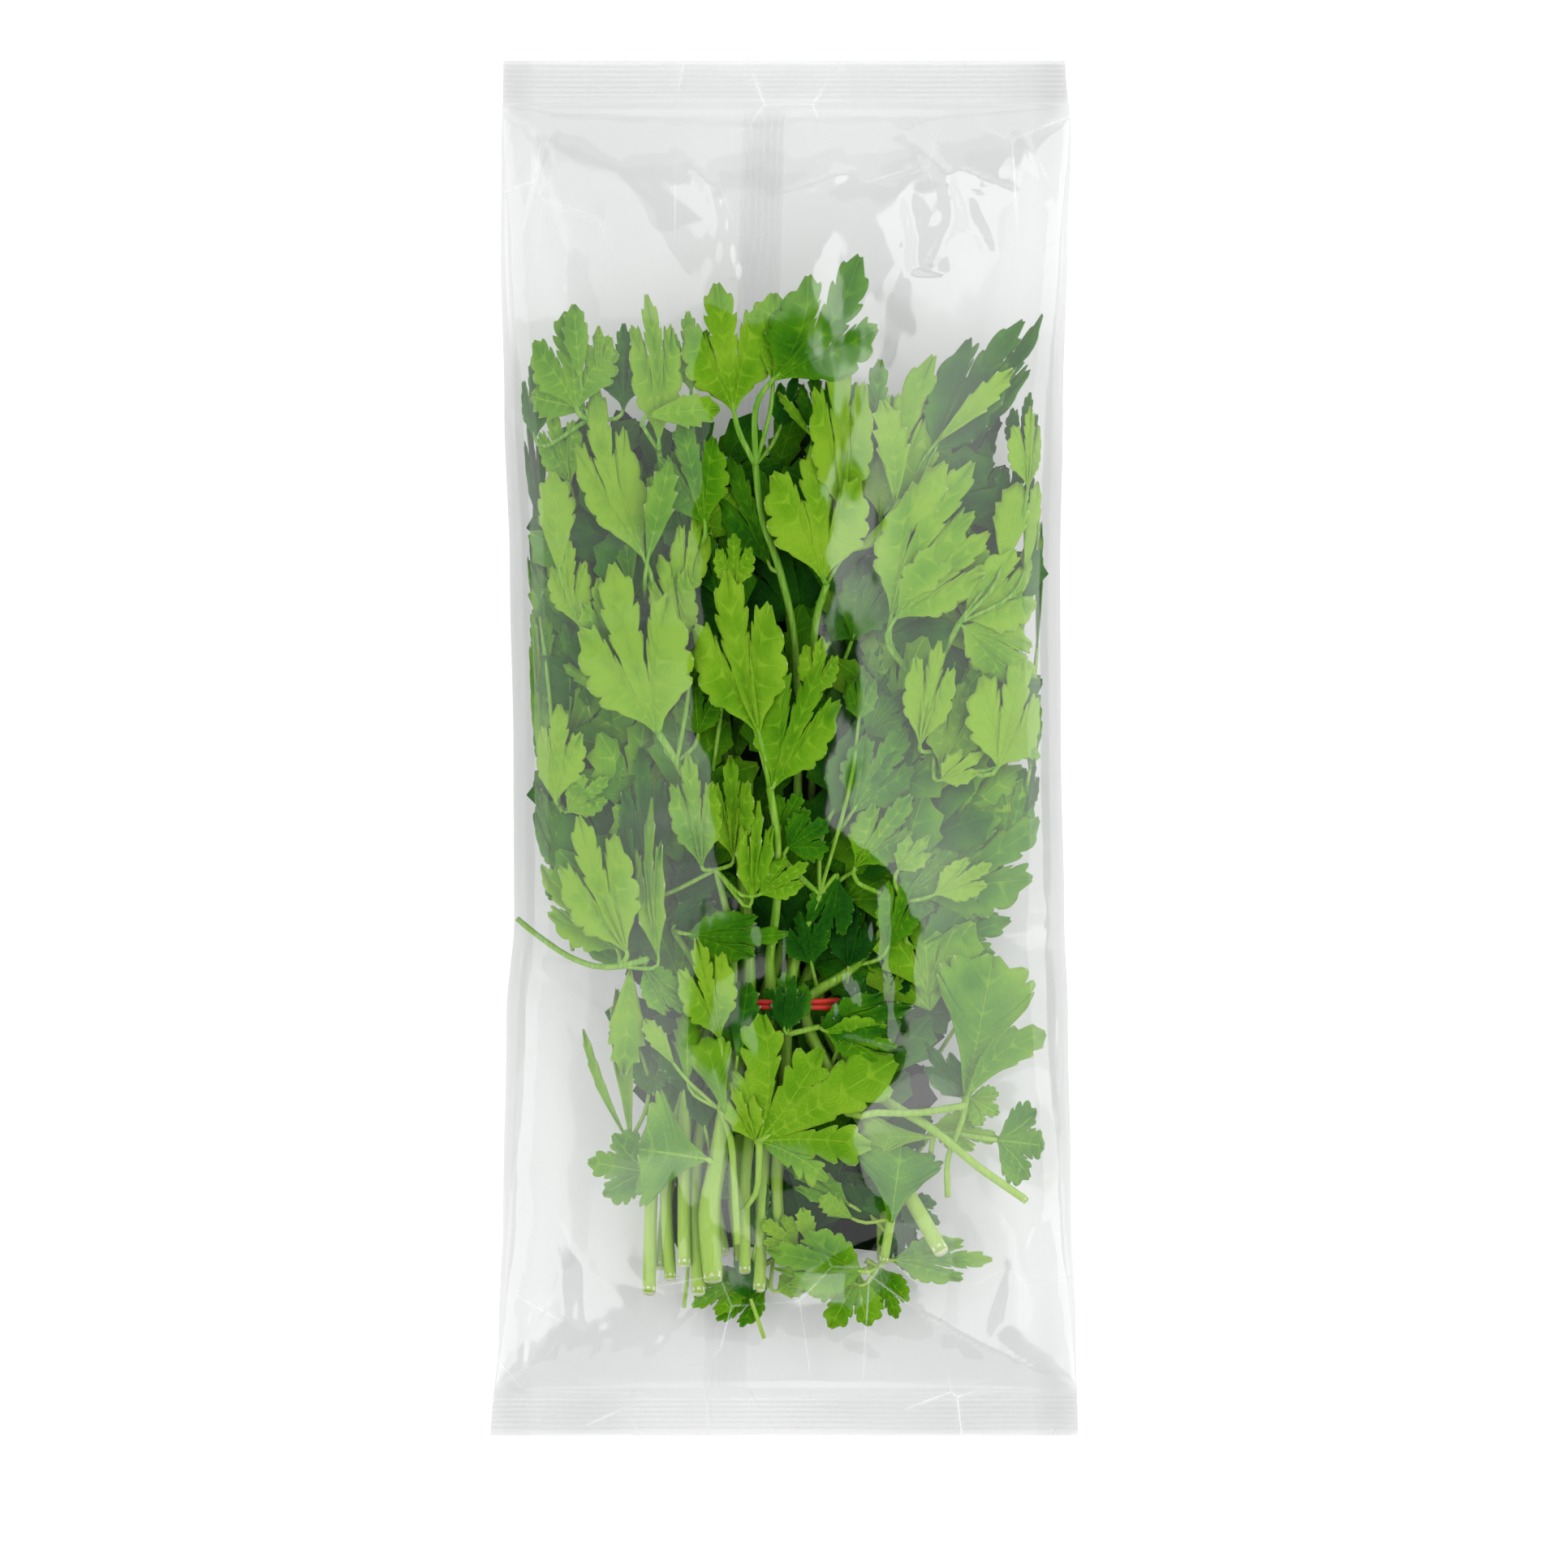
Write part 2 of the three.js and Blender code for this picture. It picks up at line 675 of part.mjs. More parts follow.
// ---- Bag film --------------------------------------------------------------------------------
const RING_STEPS = 12;
const HALF_STATIONS = [20, 62, 98, 128, 152, 170, 179, 182.5, 194.5];
const OUTER_STATIONS = [...HALF_STATIONS.map((y) => -y).reverse(), ...HALF_STATIONS];
const INNER_STATIONS = OUTER_STATIONS.filter((y) => Math.abs(y) < CAVITY_END - 2);
const FIN_TOP_X = -5.5;
const FIN_BOTTOM_X = -17;
const VENT_XS = [-38, 36];
const VENT_YS = [-50, 10, 70];

function bagRing(y, inset) {
  const shares = Array.from({ length: RING_STEPS + 1 }, (_, i) =>
    Math.sin((Math.PI / 2) * ((2 * i) / RING_STEPS - 1)),
  );
  const across = (share) => share * (halfWidth(y, share < 0 ? 1 : 2) - inset);
  const back = shares.map((share) => [across(share), y, backZ(share, y, inset)]);
  const top = shares.map((share) => [across(share), y, topZ(share, y, inset)]).reverse();
  return inset ? [...back, ...top.slice(1, -1)] : [...back, ...top];
}

function finRing(y) {
  const share = (y + CAVITY_END) / (2 * CAVITY_END);
  const x = FIN_BOTTOM_X + (FIN_TOP_X - FIN_BOTTOM_X) * share;
  const bottom = backZ(0.1, y, 0) + 0.2;
  const top = bottom - 0.2 + 2 * FILM;
  const half = FIN_WIDTH / 2;
  return [[x - half, y, bottom], [x + half, y, bottom], [x + half, y, top], [x - half, y, top]];
}

function ventRing(x, y, z) {
  return Array.from({ length: 6 }, (_, i) => {
    const angle = (Math.PI * i) / 3;
    return [x + VENT_RADIUS * Math.cos(angle), y + VENT_RADIUS * Math.sin(angle), z];
  });
}

function bagFilm() {
  const outer = loft(OUTER_STATIONS.map((y) => bagRing(y, 0)));
  const inner = loft(INNER_STATIONS.map((y) => bagRing(y, FILM)));
  const fin = loft(INNER_STATIONS.filter((y) => Math.abs(y) < CAVITY_END - 8).map(finRing));
  const places = VENT_XS.flatMap((x) => VENT_YS.map((y) => [x, y]));
  const vents = places.map(([x, y]) => loft([ventRing(x, y, 3), ventRing(x, y, -1)]));
  return vents.reduce((film, vent) => film.subtract(vent), outer.subtract(inner).add(fin));
}

// ---- Leaves and stems ------------------------------------------------------------------------
function leafPoint(leaf, share, across) {
  const [baseX, baseY, tipX, tipY, width, layer, , bend] = leaf;
  const length = Math.hypot(tipX - baseX, tipY - baseY);
  const alongX = (tipX - baseX) / length;
  const alongY = (tipY - baseY) / length;
  const side = across * width + bend * length * Math.sin(Math.PI * share);
  const y = baseY + alongY * share * length + alongX * side;
  const x = insideFold(baseX + alongX * share * length - alongY * side, y);
  const arch = BLADE_ARCH * Math.sin(Math.PI * share) * (1 - 4 * across * across);
  return [x, y, layerZ(layer, x, y) + arch];
}

// A thin blade with its flat stalk: the same triangles on its upper and lower face, and a wall
// round its edge. The stalk ends inside the stem.
function blade(leaf, root) {
  const [baseX, baseY, tipX, tipY, width, layer, form] = leaf;
  const small = width < SMALL_WIDTH ? "small_" : "";
  const { half, cleft } = OUTLINES[small + form] ?? OUTLINES[form];
  const left = half.map(([share, across]) => [share, -across]).reverse();
  const outline = [...half, [1, 0], ...left];
  const count = outline.length;
  const rib = RIB_SHARES.map((share) => [share, 0]);
  const upper = [...outline, ...rib].map(([share, across]) => leafPoint(leaf, share, across));

  // The blade's two base points stand across the turn from the stalk to the midrib.
  const stalk = new THREE.Vector2(baseX - root[0], baseY - root[1]).normalize();
  const turn = new THREE.Vector2(tipX - baseX, tipY - baseY).normalize().add(stalk).normalize();
  for (const [i, side] of [[0, 1], [count - 1, -1]]) {
    const reach = side * half[0][1] * width;
    const x = insideFold(baseX - turn.y * reach, baseY);
    const y = baseY + turn.x * reach;
    upper[i] = [x, y, layerZ(layer, x, y)];
  }

  const face = [];
  for (let i = 0; i + 1 < count; i++) {
    const outer = i >= cleft && i < count - 1 - cleft;
    face.push([i + 1, i, outer ? count + 1 : count]);
  }
  face.push([count, count + 1, cleft], [count + 1, count, count - 1 - cleft]);

  // The stalk tapers from the blade's base to an upright line inside the stem.
  upper.push([root[0], root[1], root[2] + BLADE / 2]);
  const total = upper.length;
  face.push([0, count - 1, count], [0, total - 1, count - 1]);

  const lower = upper.map(([x, y, z]) => {
    const slope = (layerZ(layer, x + 1, y) - layerZ(layer, x - 1, y)) / 2;
    const steep = Math.hypot(slope, 1);
    return [x + (BLADE * slope) / steep, y, z - BLADE / steep];
  });
  const edge = [...outline.keys(), total - 1];
  const wall = edge.flatMap((a, i) => {
    const b = edge[(i + 1) % edge.length];
    return [[b, b + total, a + total], [b, a + total, a]];
  });
  const under = face.map(([a, b, c]) => [a + total, c + total, b + total]);
  return toSolid([...upper, ...lower], [...face, ...under, ...wall]);
}

function leafyStem({ name, stem, leaves }) {
  const path = stem.map(([x, y, layer]) => [x, y, layerZ(layer, x, y)]);
  const radii = stem.map((point) => point[3]);
  // Stalks that share a point of the stem end one after another inside it.
  const blades = leaves.map((leaf, order) => {
    const i = leaf[8];
    const from = new THREE.Vector3(...path[i]);
    const along = new THREE.Vector3(...(path[i + 1] ?? path[i - 1])).sub(from);
    const sunk = along.setLength(STALK_SUNK + STALK_STEP * (order % 3));
    return blade(leaf, from.add(sunk).toArray());
  });
  const fused = blades.reduce((solid, leaf) => solid.add(leaf), tube(path, radii, STEM_SIDES));
  // Near-equal points are joined; a pinhole that fusing seals is filled.
  const bodies = closedSolid(toGeometry(fused.simplify(JOIN)), JOIN).decompose();
  const largest = bodies.reduce((a, b) => (b.volume() > a.volume() ? b : a));
  if (largest.volume() < fused.volume() - 1) throw new Error(`${name} has a loose leaf`);
  return largest;
}

// ---- Rubber band -----------------------------------------------------------------------------
const BAND_STEPS = 20;
function rubberBand() {
  const ring = (halfWide, halfHigh, y) =>
    Array.from({ length: BAND_STEPS }, (_, i) => {
      const angle = (2 * Math.PI * i) / BAND_STEPS;
      const c = Math.cos(angle);
      const s = Math.sin(angle);
      return [
        TIE_X + halfWide * Math.sign(c) * Math.abs(c) ** 0.6,
        y,
        TIE_Z + halfHigh * Math.sign(s) * Math.abs(s) ** 0.6,
      ];
    });
  const wall = (grow, reach) =>
    loft([
      ring(BAND_HALF_WIDTH + grow, BAND_HALF_HEIGHT + grow, TIE_Y - reach),
      ring(BAND_HALF_WIDTH + grow, BAND_HALF_HEIGHT + grow, TIE_Y + reach),
    ]);
  return wall(BAND_THICKNESS, BAND_WIDTH / 2).subtract(wall(0, BAND_WIDTH));
}

// ---- The bunch -------------------------------------------------------------------------------
const LEAF_GREEN = new THREE.MeshStandardMaterial({ color: 0x5f9a12, roughness: 0.5 });
const BAND_RED = new THREE.MeshStandardMaterial({ color: 0xc8140c, roughness: 0.6 });
const CLEAR_FILM = new THREE.MeshStandardMaterial({
  color: 0xf2f4f4,
  roughness: 0.12,
  transparent: true,
  opacity: 0.25,
});

function named(name, solid, material) {
  const faceted = toGeometry(solid).toNonIndexed();
  faceted.computeVertexNormals();
  const mesh = new THREE.Mesh(faceted, material);
  mesh.name = name;
  return mesh;
}

const bunch = new THREE.Group();
for (const stem of LEAFY_STEMS) bunch.add(named(stem.name, leafyStem(stem), LEAF_GREEN));
bunch.add(named("rubber_band", rubberBand(), BAND_RED));
bunch.add(named("film_bag", bagFilm(), CLEAR_FILM));

export default bunch;
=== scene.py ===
import math

import bpy
import numpy as np
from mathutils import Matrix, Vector, geometry, noise


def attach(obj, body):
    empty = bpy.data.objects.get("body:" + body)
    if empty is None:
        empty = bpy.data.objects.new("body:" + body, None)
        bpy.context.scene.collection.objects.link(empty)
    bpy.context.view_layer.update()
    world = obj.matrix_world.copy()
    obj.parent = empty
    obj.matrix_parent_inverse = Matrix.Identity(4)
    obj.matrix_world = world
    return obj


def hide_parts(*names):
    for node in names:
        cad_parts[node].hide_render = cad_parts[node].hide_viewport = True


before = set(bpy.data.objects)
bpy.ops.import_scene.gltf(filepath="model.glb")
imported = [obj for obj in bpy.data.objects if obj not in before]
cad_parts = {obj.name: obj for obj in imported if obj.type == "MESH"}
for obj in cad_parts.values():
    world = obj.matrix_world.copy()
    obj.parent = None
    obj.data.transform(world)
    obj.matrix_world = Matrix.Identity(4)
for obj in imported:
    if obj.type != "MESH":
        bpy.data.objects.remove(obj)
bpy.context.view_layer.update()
MM = 0.001

# ---------------------------------------------------------------------------------------------
# The parsley: leafy stems, in millimetres
# ---------------------------------------------------------------------------------------------
# A stem runs from its youngest fork to its cut end: (x, y, layer, radius).
# A leaflet: (base x, base y, tip x, tip y, width, layer, outline, sideways bend, stem point,
# freshness and shade). Layer 0 lies just under the front film and layer 12 on the back film. The
# last value runs from a dark leaf, 0, to a bright one, 1: partly the leaf's age and partly
# painted shade, darker for leaves lying deep in the bunch.
LEAFY_STEMS = {
    "stem_top_left": ([
        (-55, 92, 2.2, 0.7), (-47, 76, 5.2, 0.9), (-38, 37, 7.6, 1), (-27, -6, 8.6, 1.1),
        (-18, -48, 7.6, 1.3), (-17, -72, 6.1, 1.7), (-28, -97, 6.9, 1.8), (-33, -121, 6.6, 1.7),
        (-32, -149, 6.4, 1.6),
    ], [
        (-58, 95, -61, 123, 27, 1, "fan", 0, 0, 0.88), (-56, 95, -73, 99, 11, 1.8, "blade", 0, 0, 0.78),
        (-71, 87, -72, 109, 17, 3, "fan", 0, 0, 0.33), (-45, 95, -45, 121, 14, 2.6, "fan", 0, 0, 0.43),
        (-39, 53, -53, 101, 18, 0.9, "fan", 0.06, 2, 0.98),
        (-38, 53, -32, 80, 9, 0.6, "blade", 0, 2, 0.88),
    ]),
    "stem_left_upper": ([
        (-61, 64, 5.2, 0.7), (-56, 37, 7, 0.9), (-38, -2, 9.8, 1), (-21, -43, 9.4, 1.2),
        (-16, -72, 7.9, 1.6), (-25, -96, 8.8, 1.7), (-32, -121, 9.2, 1.6), (-35, -146, 8.8, 1.5),
    ], [
        (-63, 50, -65, 79, 12, 1.6, "blade", 0, 1, 0.93),
        (-60, 64, -57, 92, 14, 4.8, "fan", 0, 0, 0.38), (-70, 64, -75, 95, 11, 4.4, "fan", 0, 0, 0.28),
        (-43, 45, -46, 73, 10, 3.4, "blade", 0, 1, 0.48),
        (-57, 34, -60, 58, 13, 2, "fan", 0.08, 1, 0.93),
    ]),
    "stem_top_mid": ([
        (-35, 83, 3.2, 0.7), (-30, 53, 5.6, 0.9), (-20, 16, 7.6, 1.1), (-12, -32, 5.8, 1.5),
        (-10, -72, 4.3, 2), (-15, -96, 3.2, 2.4), (-19, -118, 3, 2.5), (-21, -131, 3, 2.9),
        (-20, -149, 3.4, 2.6),
    ], [
        (-35, 86, -39, 129, 15, 1.6, "fan", -0.03, 0, 0.98),
        (-38, 93, -17, 95, 10, 0.4, "blade", 0, 0, 0.88), (-22, 62, -29, 92, 20, 2, "fan", 0, 1, 0.66),
        (-27, 51, -31, 83, 14, 3.8, "fan", 0, 1, 0.48), (-29, 39, -23, 69, 12, 2.4, "fan", 0, 1, 0.88),
        (-22, -115, -42, -112, 34, 1.9, "wedge", 0, 6, 0.74),
    ]),
    "stem_top_fork": ([
        (-8, 79, 1.6, 0.9), (-6, 64, 2, 0.95), (-1, 49, 2.6, 1), (3, 29, 4, 1), (4, -2, 6.6, 1.1),
        (2, -45, 6.6, 1.4), (-6, -72, 6.1, 1.8), (-10, -97, 6.4, 1.9), (-14, -121, 6.8, 1.9),
        (-12, -144, 6.8, 1.8),
    ], [
        (-14, 94, -19, 131, 27, 1, "fan", 0, 0, 0.78),
        (-3, 103, 21, 137, 30, 0.6, "fan", -0.1, 0, 0.65),
        (-3, 103, -3, 128, 14, 1.2, "blade", 0, 0, 0.78),
        (-1, 90, 4, 106, 10, 3.4, "round", 0, 0, 0.18), (-4, 51, -16, 83, 18, 2.9, "fan", 0, 2, 0.48),
    ]),
    "stem_top_centre": ([
        (12, 46, 1.6, 0.9), (9, 36, 2.6, 1), (8, 21, 4.4, 1), (8, -9, 8, 1.1), (6, -45, 8, 1.4),
        (-1, -72, 6.1, 1.7), (-4, -96, 6.4, 1.8), (-6, -121, 6.4, 1.8), (-7, -152, 5.6, 1.7),
    ], [
        (11, 47, 8, 87, 30, 0.8, "fan", 0, 0, 0.88), (19, 55, 46, 81, 11, 0.9, "blade", -0.1, 0, 1),
        (17, 64, 15, 116, 18, 1.2, "fan", 0, 0, 1), (8, 87, -2, 100, 3, 2, "blade", 0, 0, 0.78),
        (13, 30, 26, 50, 13, 3.8, "round", 0, 2, 0.46),
    ]),
    "stem_top_right": ([
        (33, 62, 3.6, 0.7), (31, 30, 5.4, 0.9), (24, -9, 8.8, 1.1), (15, -45, 9, 1.4),
        (5, -72, 6.1, 1.7), (17, -96, 5.8, 1.9), (33, -122, 4.6, 2), (44, -141, 2.9, 2.1),
    ], [
        (27, 65, 42, 110, 25, 2.1, "round", 0.05, 0, 0.96),
        (42, 83, 68, 121, 21, 3.4, "round", 0.04, 0, 0.41), (43, 86, 64, 106, 7, 2.8, "blade", 0, 0, 1),
        (44, 83, 75, 121, 14, 4.6, "round", 0, 0, 0.41),
        (31, 69, 27, 99, 10, 1.2, "blade", -0.05, 0, 1), (49, 74, 57, 97, 16, 5.6, "fan", 0, 0, 0.31),
    ]),
    "stem_right_upper": ([
        (49, 35, 1.9, 0.8), (40, 16, 6, 0.9), (28, -18, 9.8, 1.1), (20, -45, 10.2, 1.3),
        (13, -61, 9.6, 1.4), (8, -72, 7.9, 1.7), (19, -98, 8, 1.8), (27, -123, 7.6, 1.8),
        (28, -144, 7.6, 1.7),
    ], [
        (30, 37, 52, 79, 24, 1.6, "fan", 0.05, 1, 0.96), (31, 36, 57, 60, 19, 0.7, "fan", 0, 1, 1),
        (61, 51, 66, 74, 11, 1.3, "blade", 0, 0, 1), (68, 50, 74, 75, 9, 1.6, "blade", 0, 0, 1),
        (69, 73, 70, 97, 14, 1.4, "fan", 0, 0, 1), (50, 36, 76, 53, 22, 2.7, "fan", 0, 0, 1),
        (50, 34, 75, 18, 18, 2, "round", 0, 0, 1),
    ]),
    "stem_left_mid": ([
        (-35, 4, 0.9, 1), (-30, -4, 2.4, 1), (-22, -20, 5.6, 1), (-16, -45, 7, 1.3),
        (-12, -72, 6.1, 1.6), (-17, -97, 6.8, 1.7), (-20, -121, 7.4, 1.7), (-17, -142, 7.6, 1.6),
    ], [
        (-35, 4, -48, 51, 34, 0.8, "fan", 0.03, 0, 1), (-43, 11, -63, 24, 4, 2.6, "blade", 0, 0, 0.88),
        (-28, 28, -35, 55, 14, 1.6, "fan", 0, 1, 0.93), (-18, 42, -21, 61, 11, 3.1, "fan", 0, 2, 0.48),
        (-24, 4, -25, 19, 14, 2.9, "round", 0, 1, 0.56), (-38, 5, -75, 53, 27, 4.8, "fan", 0, 1, 0.38),
    ]),
    "stem_centre": ([
        (-4, -11, 1, 1), (-2, -25, 1.6, 1.05), (-2, -43, 3.2, 1.1), (-4, -59, 4.2, 1.3),
        (-4, -72, 4.3, 1.7), (-8, -97, 4.2, 1.7), (-11, -121, 4.6, 1.6), (-11, -147, 5, 1.6),
    ], [
        (-7, 4, -16, 49, 27, 0.8, "fan", 0.03, 0, 0.88), (-14, 44, -14, 61, 12, 1.4, "fan", 0, 0, 0.88),
        (-3, -11, 12, 28, 24, 0.6, "fan", 0, 0, 0.83), (8, 14, 11, 32, 12, 1.6, "fan", 0, 0, 0.73),
    ]),
    "stem_left_edge": ([
        (-63, -16, 3.4, 0.8), (-49, -32, 6, 0.9), (-30, -57, 8.2, 1.2), (-21, -72, 7, 1.5),
        (-33, -96, 7.6, 1.7), (-37, -121, 7.2, 1.7), (-38, -153, 7, 1.8),
    ], [
        (-64, -15, -63, 12, 18, 1.6, "fan", 0, 0, 0.93),
        (-71, -3, -74, 39, 12, 3, "fan", -0.03, 0, 0.68),
        (-61, -18, -49, -8, 12, 2.2, "fan", 0, 0, 0.88),
        (-60, -36, -75, -9, 12, 3.4, "fan", 0, 1, 0.63), (-70, 37, -76, 60, 8, 3.4, "fan", 0, 0, 0.38),
    ]),
    "stem_left_low": ([
        (-19, -34, 2.2, 0.8), (-15, -52, 3.9, 1.1), (-15, -72, 4.3, 1.5), (-21, -96, 5.4, 1.6),
        (-25, -121, 5.6, 1.7), (-24, -153, 4.9, 1.8),
    ], [
        (-23, -33, -27, -2, 15, 1.4, "fan", 0, 0, 0.86),
        (-14, -31, -15, -2, 14, 1.8, "fan", 0, 0, 0.88), (-38, -38, -40, -1, 15, 3, "fan", 0, 0, 0.38),
        (-9, -43, -7, -13, 11, 0.8, "fan", 0, 0, 0.88), (-7, -41, 7, -32, 12, 0.8, "fan", 0, 0, 0.88),
    ]),
    "stem_centre_low": ([
        (10, -41, 3, 0.8), (4, -57, 4.6, 1.2), (1, -72, 4.3, 1.6), (0, -97, 4.6, 1.7),
        (-2, -121, 6, 1.6), (-1, -141, 6.8, 1.6),
    ], [
        (-1, -22, 5, -12, 13, 2.6, "round", 0, 0, 0.38),
        (1, -28, 13, -20, 16, 2.2, "round", 0, 0, 0.53), (15, -36, 10, -56, 14, 3, "fan", 0, 0, 0.36),
        (13, -19, 32, 12, 18, 3.2, "fan", 0, 0, 0.51), (24, -36, 27, -57, 16, 5.2, "fan", 0, 0, 0.31),
        (21, 8, 22, 24, 10, 2.4, "round", 0, 0, 0.66),
    ]),
    "stem_right_mid": ([
        (42, -1, 3.8, 0.8), (30, -32, 7.6, 1), (16, -57, 7.8, 1.3), (10, -72, 6.1, 1.5),
        (21, -93, 5, 1.5), (42, -107, 1.8, 1.2), (54, -117, 1.4, 1.1), (68, -127, 2.6, 1.1),
    ], [
        (38, 1, 44, 32, 15, 1.2, "fan", 0, 0, 1), (60, -5, 68, 28, 26, 1.2, "round", 0, 0, 1),
        (60, -5, 77, -3, 5, 1.8, "blade", 0.2, 0, 0.91), (44, -9, 56, -1, 10, 1.4, "round", 0, 0, 1),
        (38, -2, 28, 22, 14, 4.4, "fan", 0, 0, 0.51), (44, -3, 57, 14, 13, 4.3, "fan", 0, 0, 0.41),
    ]),
    "stem_right_low": ([
        (33, -43, 3, 0.9), (20, -61, 4.6, 1.3), (6, -72, 4.3, 1.5), (12, -89, 3, 1.4),
        (18, -102, 2.2, 1.3), (26, -102, 1.5, 1), (38, -102, 1.1, 1), (51, -100, 1.4, 1),
    ], [
        (20, -33, 35, -14, 17, 2.2, "fan", 0, 0, 0.66), (32, -34, 41, -24, 10, 2, "round", 0, 0, 0.76),
        (33, -42, 49, -27, 14, 2.8, "round", 0, 0, 0.71),
        (40, -42, 76, -19, 30, 3.5, "round", 0, 0, 0.66),
        (38, -56, 64, -48, 21, 4.2, "round", 0, 0, 0.61), (42, -41, 59, -32, 12, 2, "fan", 0, 0, 1),
        (29, -56, 36, -33, 13, 2.6, "fan", 0, 1, 0.61),
    ]),
    "stem_crossing": ([
        (-31, -51, 3.4, 0.8), (-24, -62, 4.3, 1.1), (-20, -72, 4.3, 1.5), (-27, -96, 4.6, 1.7),
        (-28, -121, 4.4, 1.7), (-28, -145, 4.2, 1.8),
    ], [
        (-29, -44, -19, -26, 13, 3.4, "round", 0, 0, 0.16),
        (-31, -50, -19, -43, 11, 2.8, "round", 0, 0, 0.21),
        (-27, -52, 1, -52, 15, 1.8, "round", -0.03, 0, 0.63),
    ]),
    "loose_leaf": ([
        (-38, -59, 1.2, 0.9), (-46, -61, 0.8, 0.85), (-53, -61, 1.2, 0.8), (-61, -58, 2.2, 0.8),
        (-70, -52, 4.4, 0.8), (-75, -48, 5.4, 0.8),
    ], [
        (-44, -57, -58, -17, 22, 1, "fan", 0.03, 1, 0.93),
        (-47, -56, -70, -33, 18, 2, "round", 0, 1, 0.78),
        (-45, -60, -59, -48, 10, 2.8, "round", 0, 1, 0.58),
        (-40, -59, -45, -19, 13, 2.4, "fan", 0, 0, 0.38),
        (-35, -59, -37, -15, 9, 1, "fan", 0.04, 1, 0.88),
        (-39, -61, -24, -75, 12, 1.4, "round", -0.08, 0, 0.58),
        (-43, -62, -45, -93, 11, 1.6, "blade", 0, 1, 0.78),
    ]),
    "low_left_leaf": ([
        (-18, -101, 1.6, 0.8), (-15, -109, 1.5, 0.9), (-14, -120, 1.6, 0.9), (-13, -139, 2, 0.9),
    ], [
        (-18, -81, -25, -51, 17, 0.8, "fan", 0, 0, 0.95),
        (-16, -103, -22, -81, 13, 1, "wedge", 0, 0, 0.75),
        (-27, -93, -27, -73, 8, 1.8, "blade", 0, 0, 0.78),
        (-31, -88, -39, -76, 6, 1.2, "blade", 0, 0, 0.88),
        (-27, -93, -37, -78, 11, 2.8, "round", 0, 0, 0.38),
    ]),
    "low_left_tuft": ([
        (-43, -110, 4.4, 0.8), (-39, -118, 3.8, 0.8), (-37, -128, 3.6, 0.8),
    ], [
        (-44, -110, -57, -77, 3, 5, "blade", 0.04, 0, 0.88),
        (-43, -110, -47, -67, 6, 4.4, "blade", 0, 0, 0.88),
        (-38, -97, -37, -79, 12, 5.4, "round", 0, 0, 0.38),
        (-38, -119, -55, -116, 22, 3.4, "round", 0, 1, 0.59),
    ]),
    "star_leaf": ([
        (-7, -110, 0.8, 1), (-7, -116, 0.9, 0.9), (-8, -125, 2.2, 0.8), (-13, -131, 3.4, 0.8),
    ], [
        (-7, -110, 30, -88, 62, 0.7, "star", 0, 0, 0.88), (-8, -110, -15, -93, 11, 0.9, "fan", 0, 0, 1),
    ]),
    "low_right_leaf": ([
        (51, -98, 3, 1), (50, -104, 2.6, 0.8), (46, -115, 3, 0.8), (46, -126, 4, 0.85),
    ], [
        (51, -98, 59, -57, 30, 3.2, "wedge", 0, 0, 0.66),
        (51, -98, 77, -80, 11, 2.4, "blade", 0.15, 0, 0.66),
        (50, -98, 40, -83, 11, 4.4, "round", 0, 0, 0.31),
        (52, -98, 61, -103, 13, 3.6, "round", 0, 0, 0.66),
    ]),
    "low_right_round": ([
        (42, -107, 4.8, 0.8), (35, -118, 6.6, 0.8), (31, -132, 8.4, 0.8),
    ], [
        (60, -110, 76, -112, 25, 3.4, "round", 0, 0, 0.71),
        (42, -106, 61, -110, 12, 4.2, "round", 0, 0, 0.86),
    ]),
    "low_mid_leaf": ([
        (30, -132, 2.6, 1.2), (29, -138, 3, 1.25), (28, -144, 3.6, 1.3),
    ], [
        (30, -133, 33, -110, 25, 2, "wedge", 0, 0, 0.56),
        (19, -132, 10, -126, 7, 4.4, "blade", 0, 0, 0.96),
    ]),
    "low_mid_pale": ([
        (42, -108, 3.2, 0.7), (41, -115, 4.4, 0.7),
    ], [
        (41, -109, 21, -109, 12, 2.6, "wedge", 0, 0, 0.91),
    ]),
    "bottom_leaf": ([
        (26, -146, 5.4, 0.9), (23, -144, 5.8, 0.9),
    ], [
        (22, -147, -4, -141, 20, 2.6, "round", 0, 0, 0.7),
        (21, -151, -4, -146, 10, 3.8, "fan", 0, 0, 0.92),
        (21, -148, 13, -163, 23, 4.4, "round", 0, 0, 0.86),
        (27, -146, 32, -161, 12, 5.2, "fan", 0, 0, 0.73),
        (30, -144, 59, -144, 14, 5.4, "fan", 0, 0, 0.73),
    ]),
    "bottom_left_leaf": ([
        (-3, -144, 8.6, 0.8), (-8, -147, 9.2, 0.8),
    ], [
        (-10, -148, -27, -158, 14, 8.2, "fan", 0, 1, 0.78),
        (-5, -152, -20, -162, 14, 9, "fan", 0, 1, 0.7), (4, -140, -6, -133, 12, 4.6, "fan", 0, 0, 0.92),
        (8, -140, 5, -129, 6, 4.2, "blade", 0, 0, 1), (-2, -153, 7, -148, 9, 7.2, "fan", 0, 0, 0.81),
    ]),
    "tie_leaf": ([
        (1, -80, 1.6, 0.8), (10, -78, 2.6, 0.8),
    ], [
        (1, -79, 0, -62, 15, 1.6, "fan", 0, 0, 0.35), (0, -79, 3, -63, 10, 1, "round", 0, 0, 0.3),
        (10, -78, 38, -72, 14, 2.4, "round", 0, 1, 0.36),
        (11, -79, 33, -84, 13, 1.8, "fan", 0, 1, 0.66),
    ]),
}
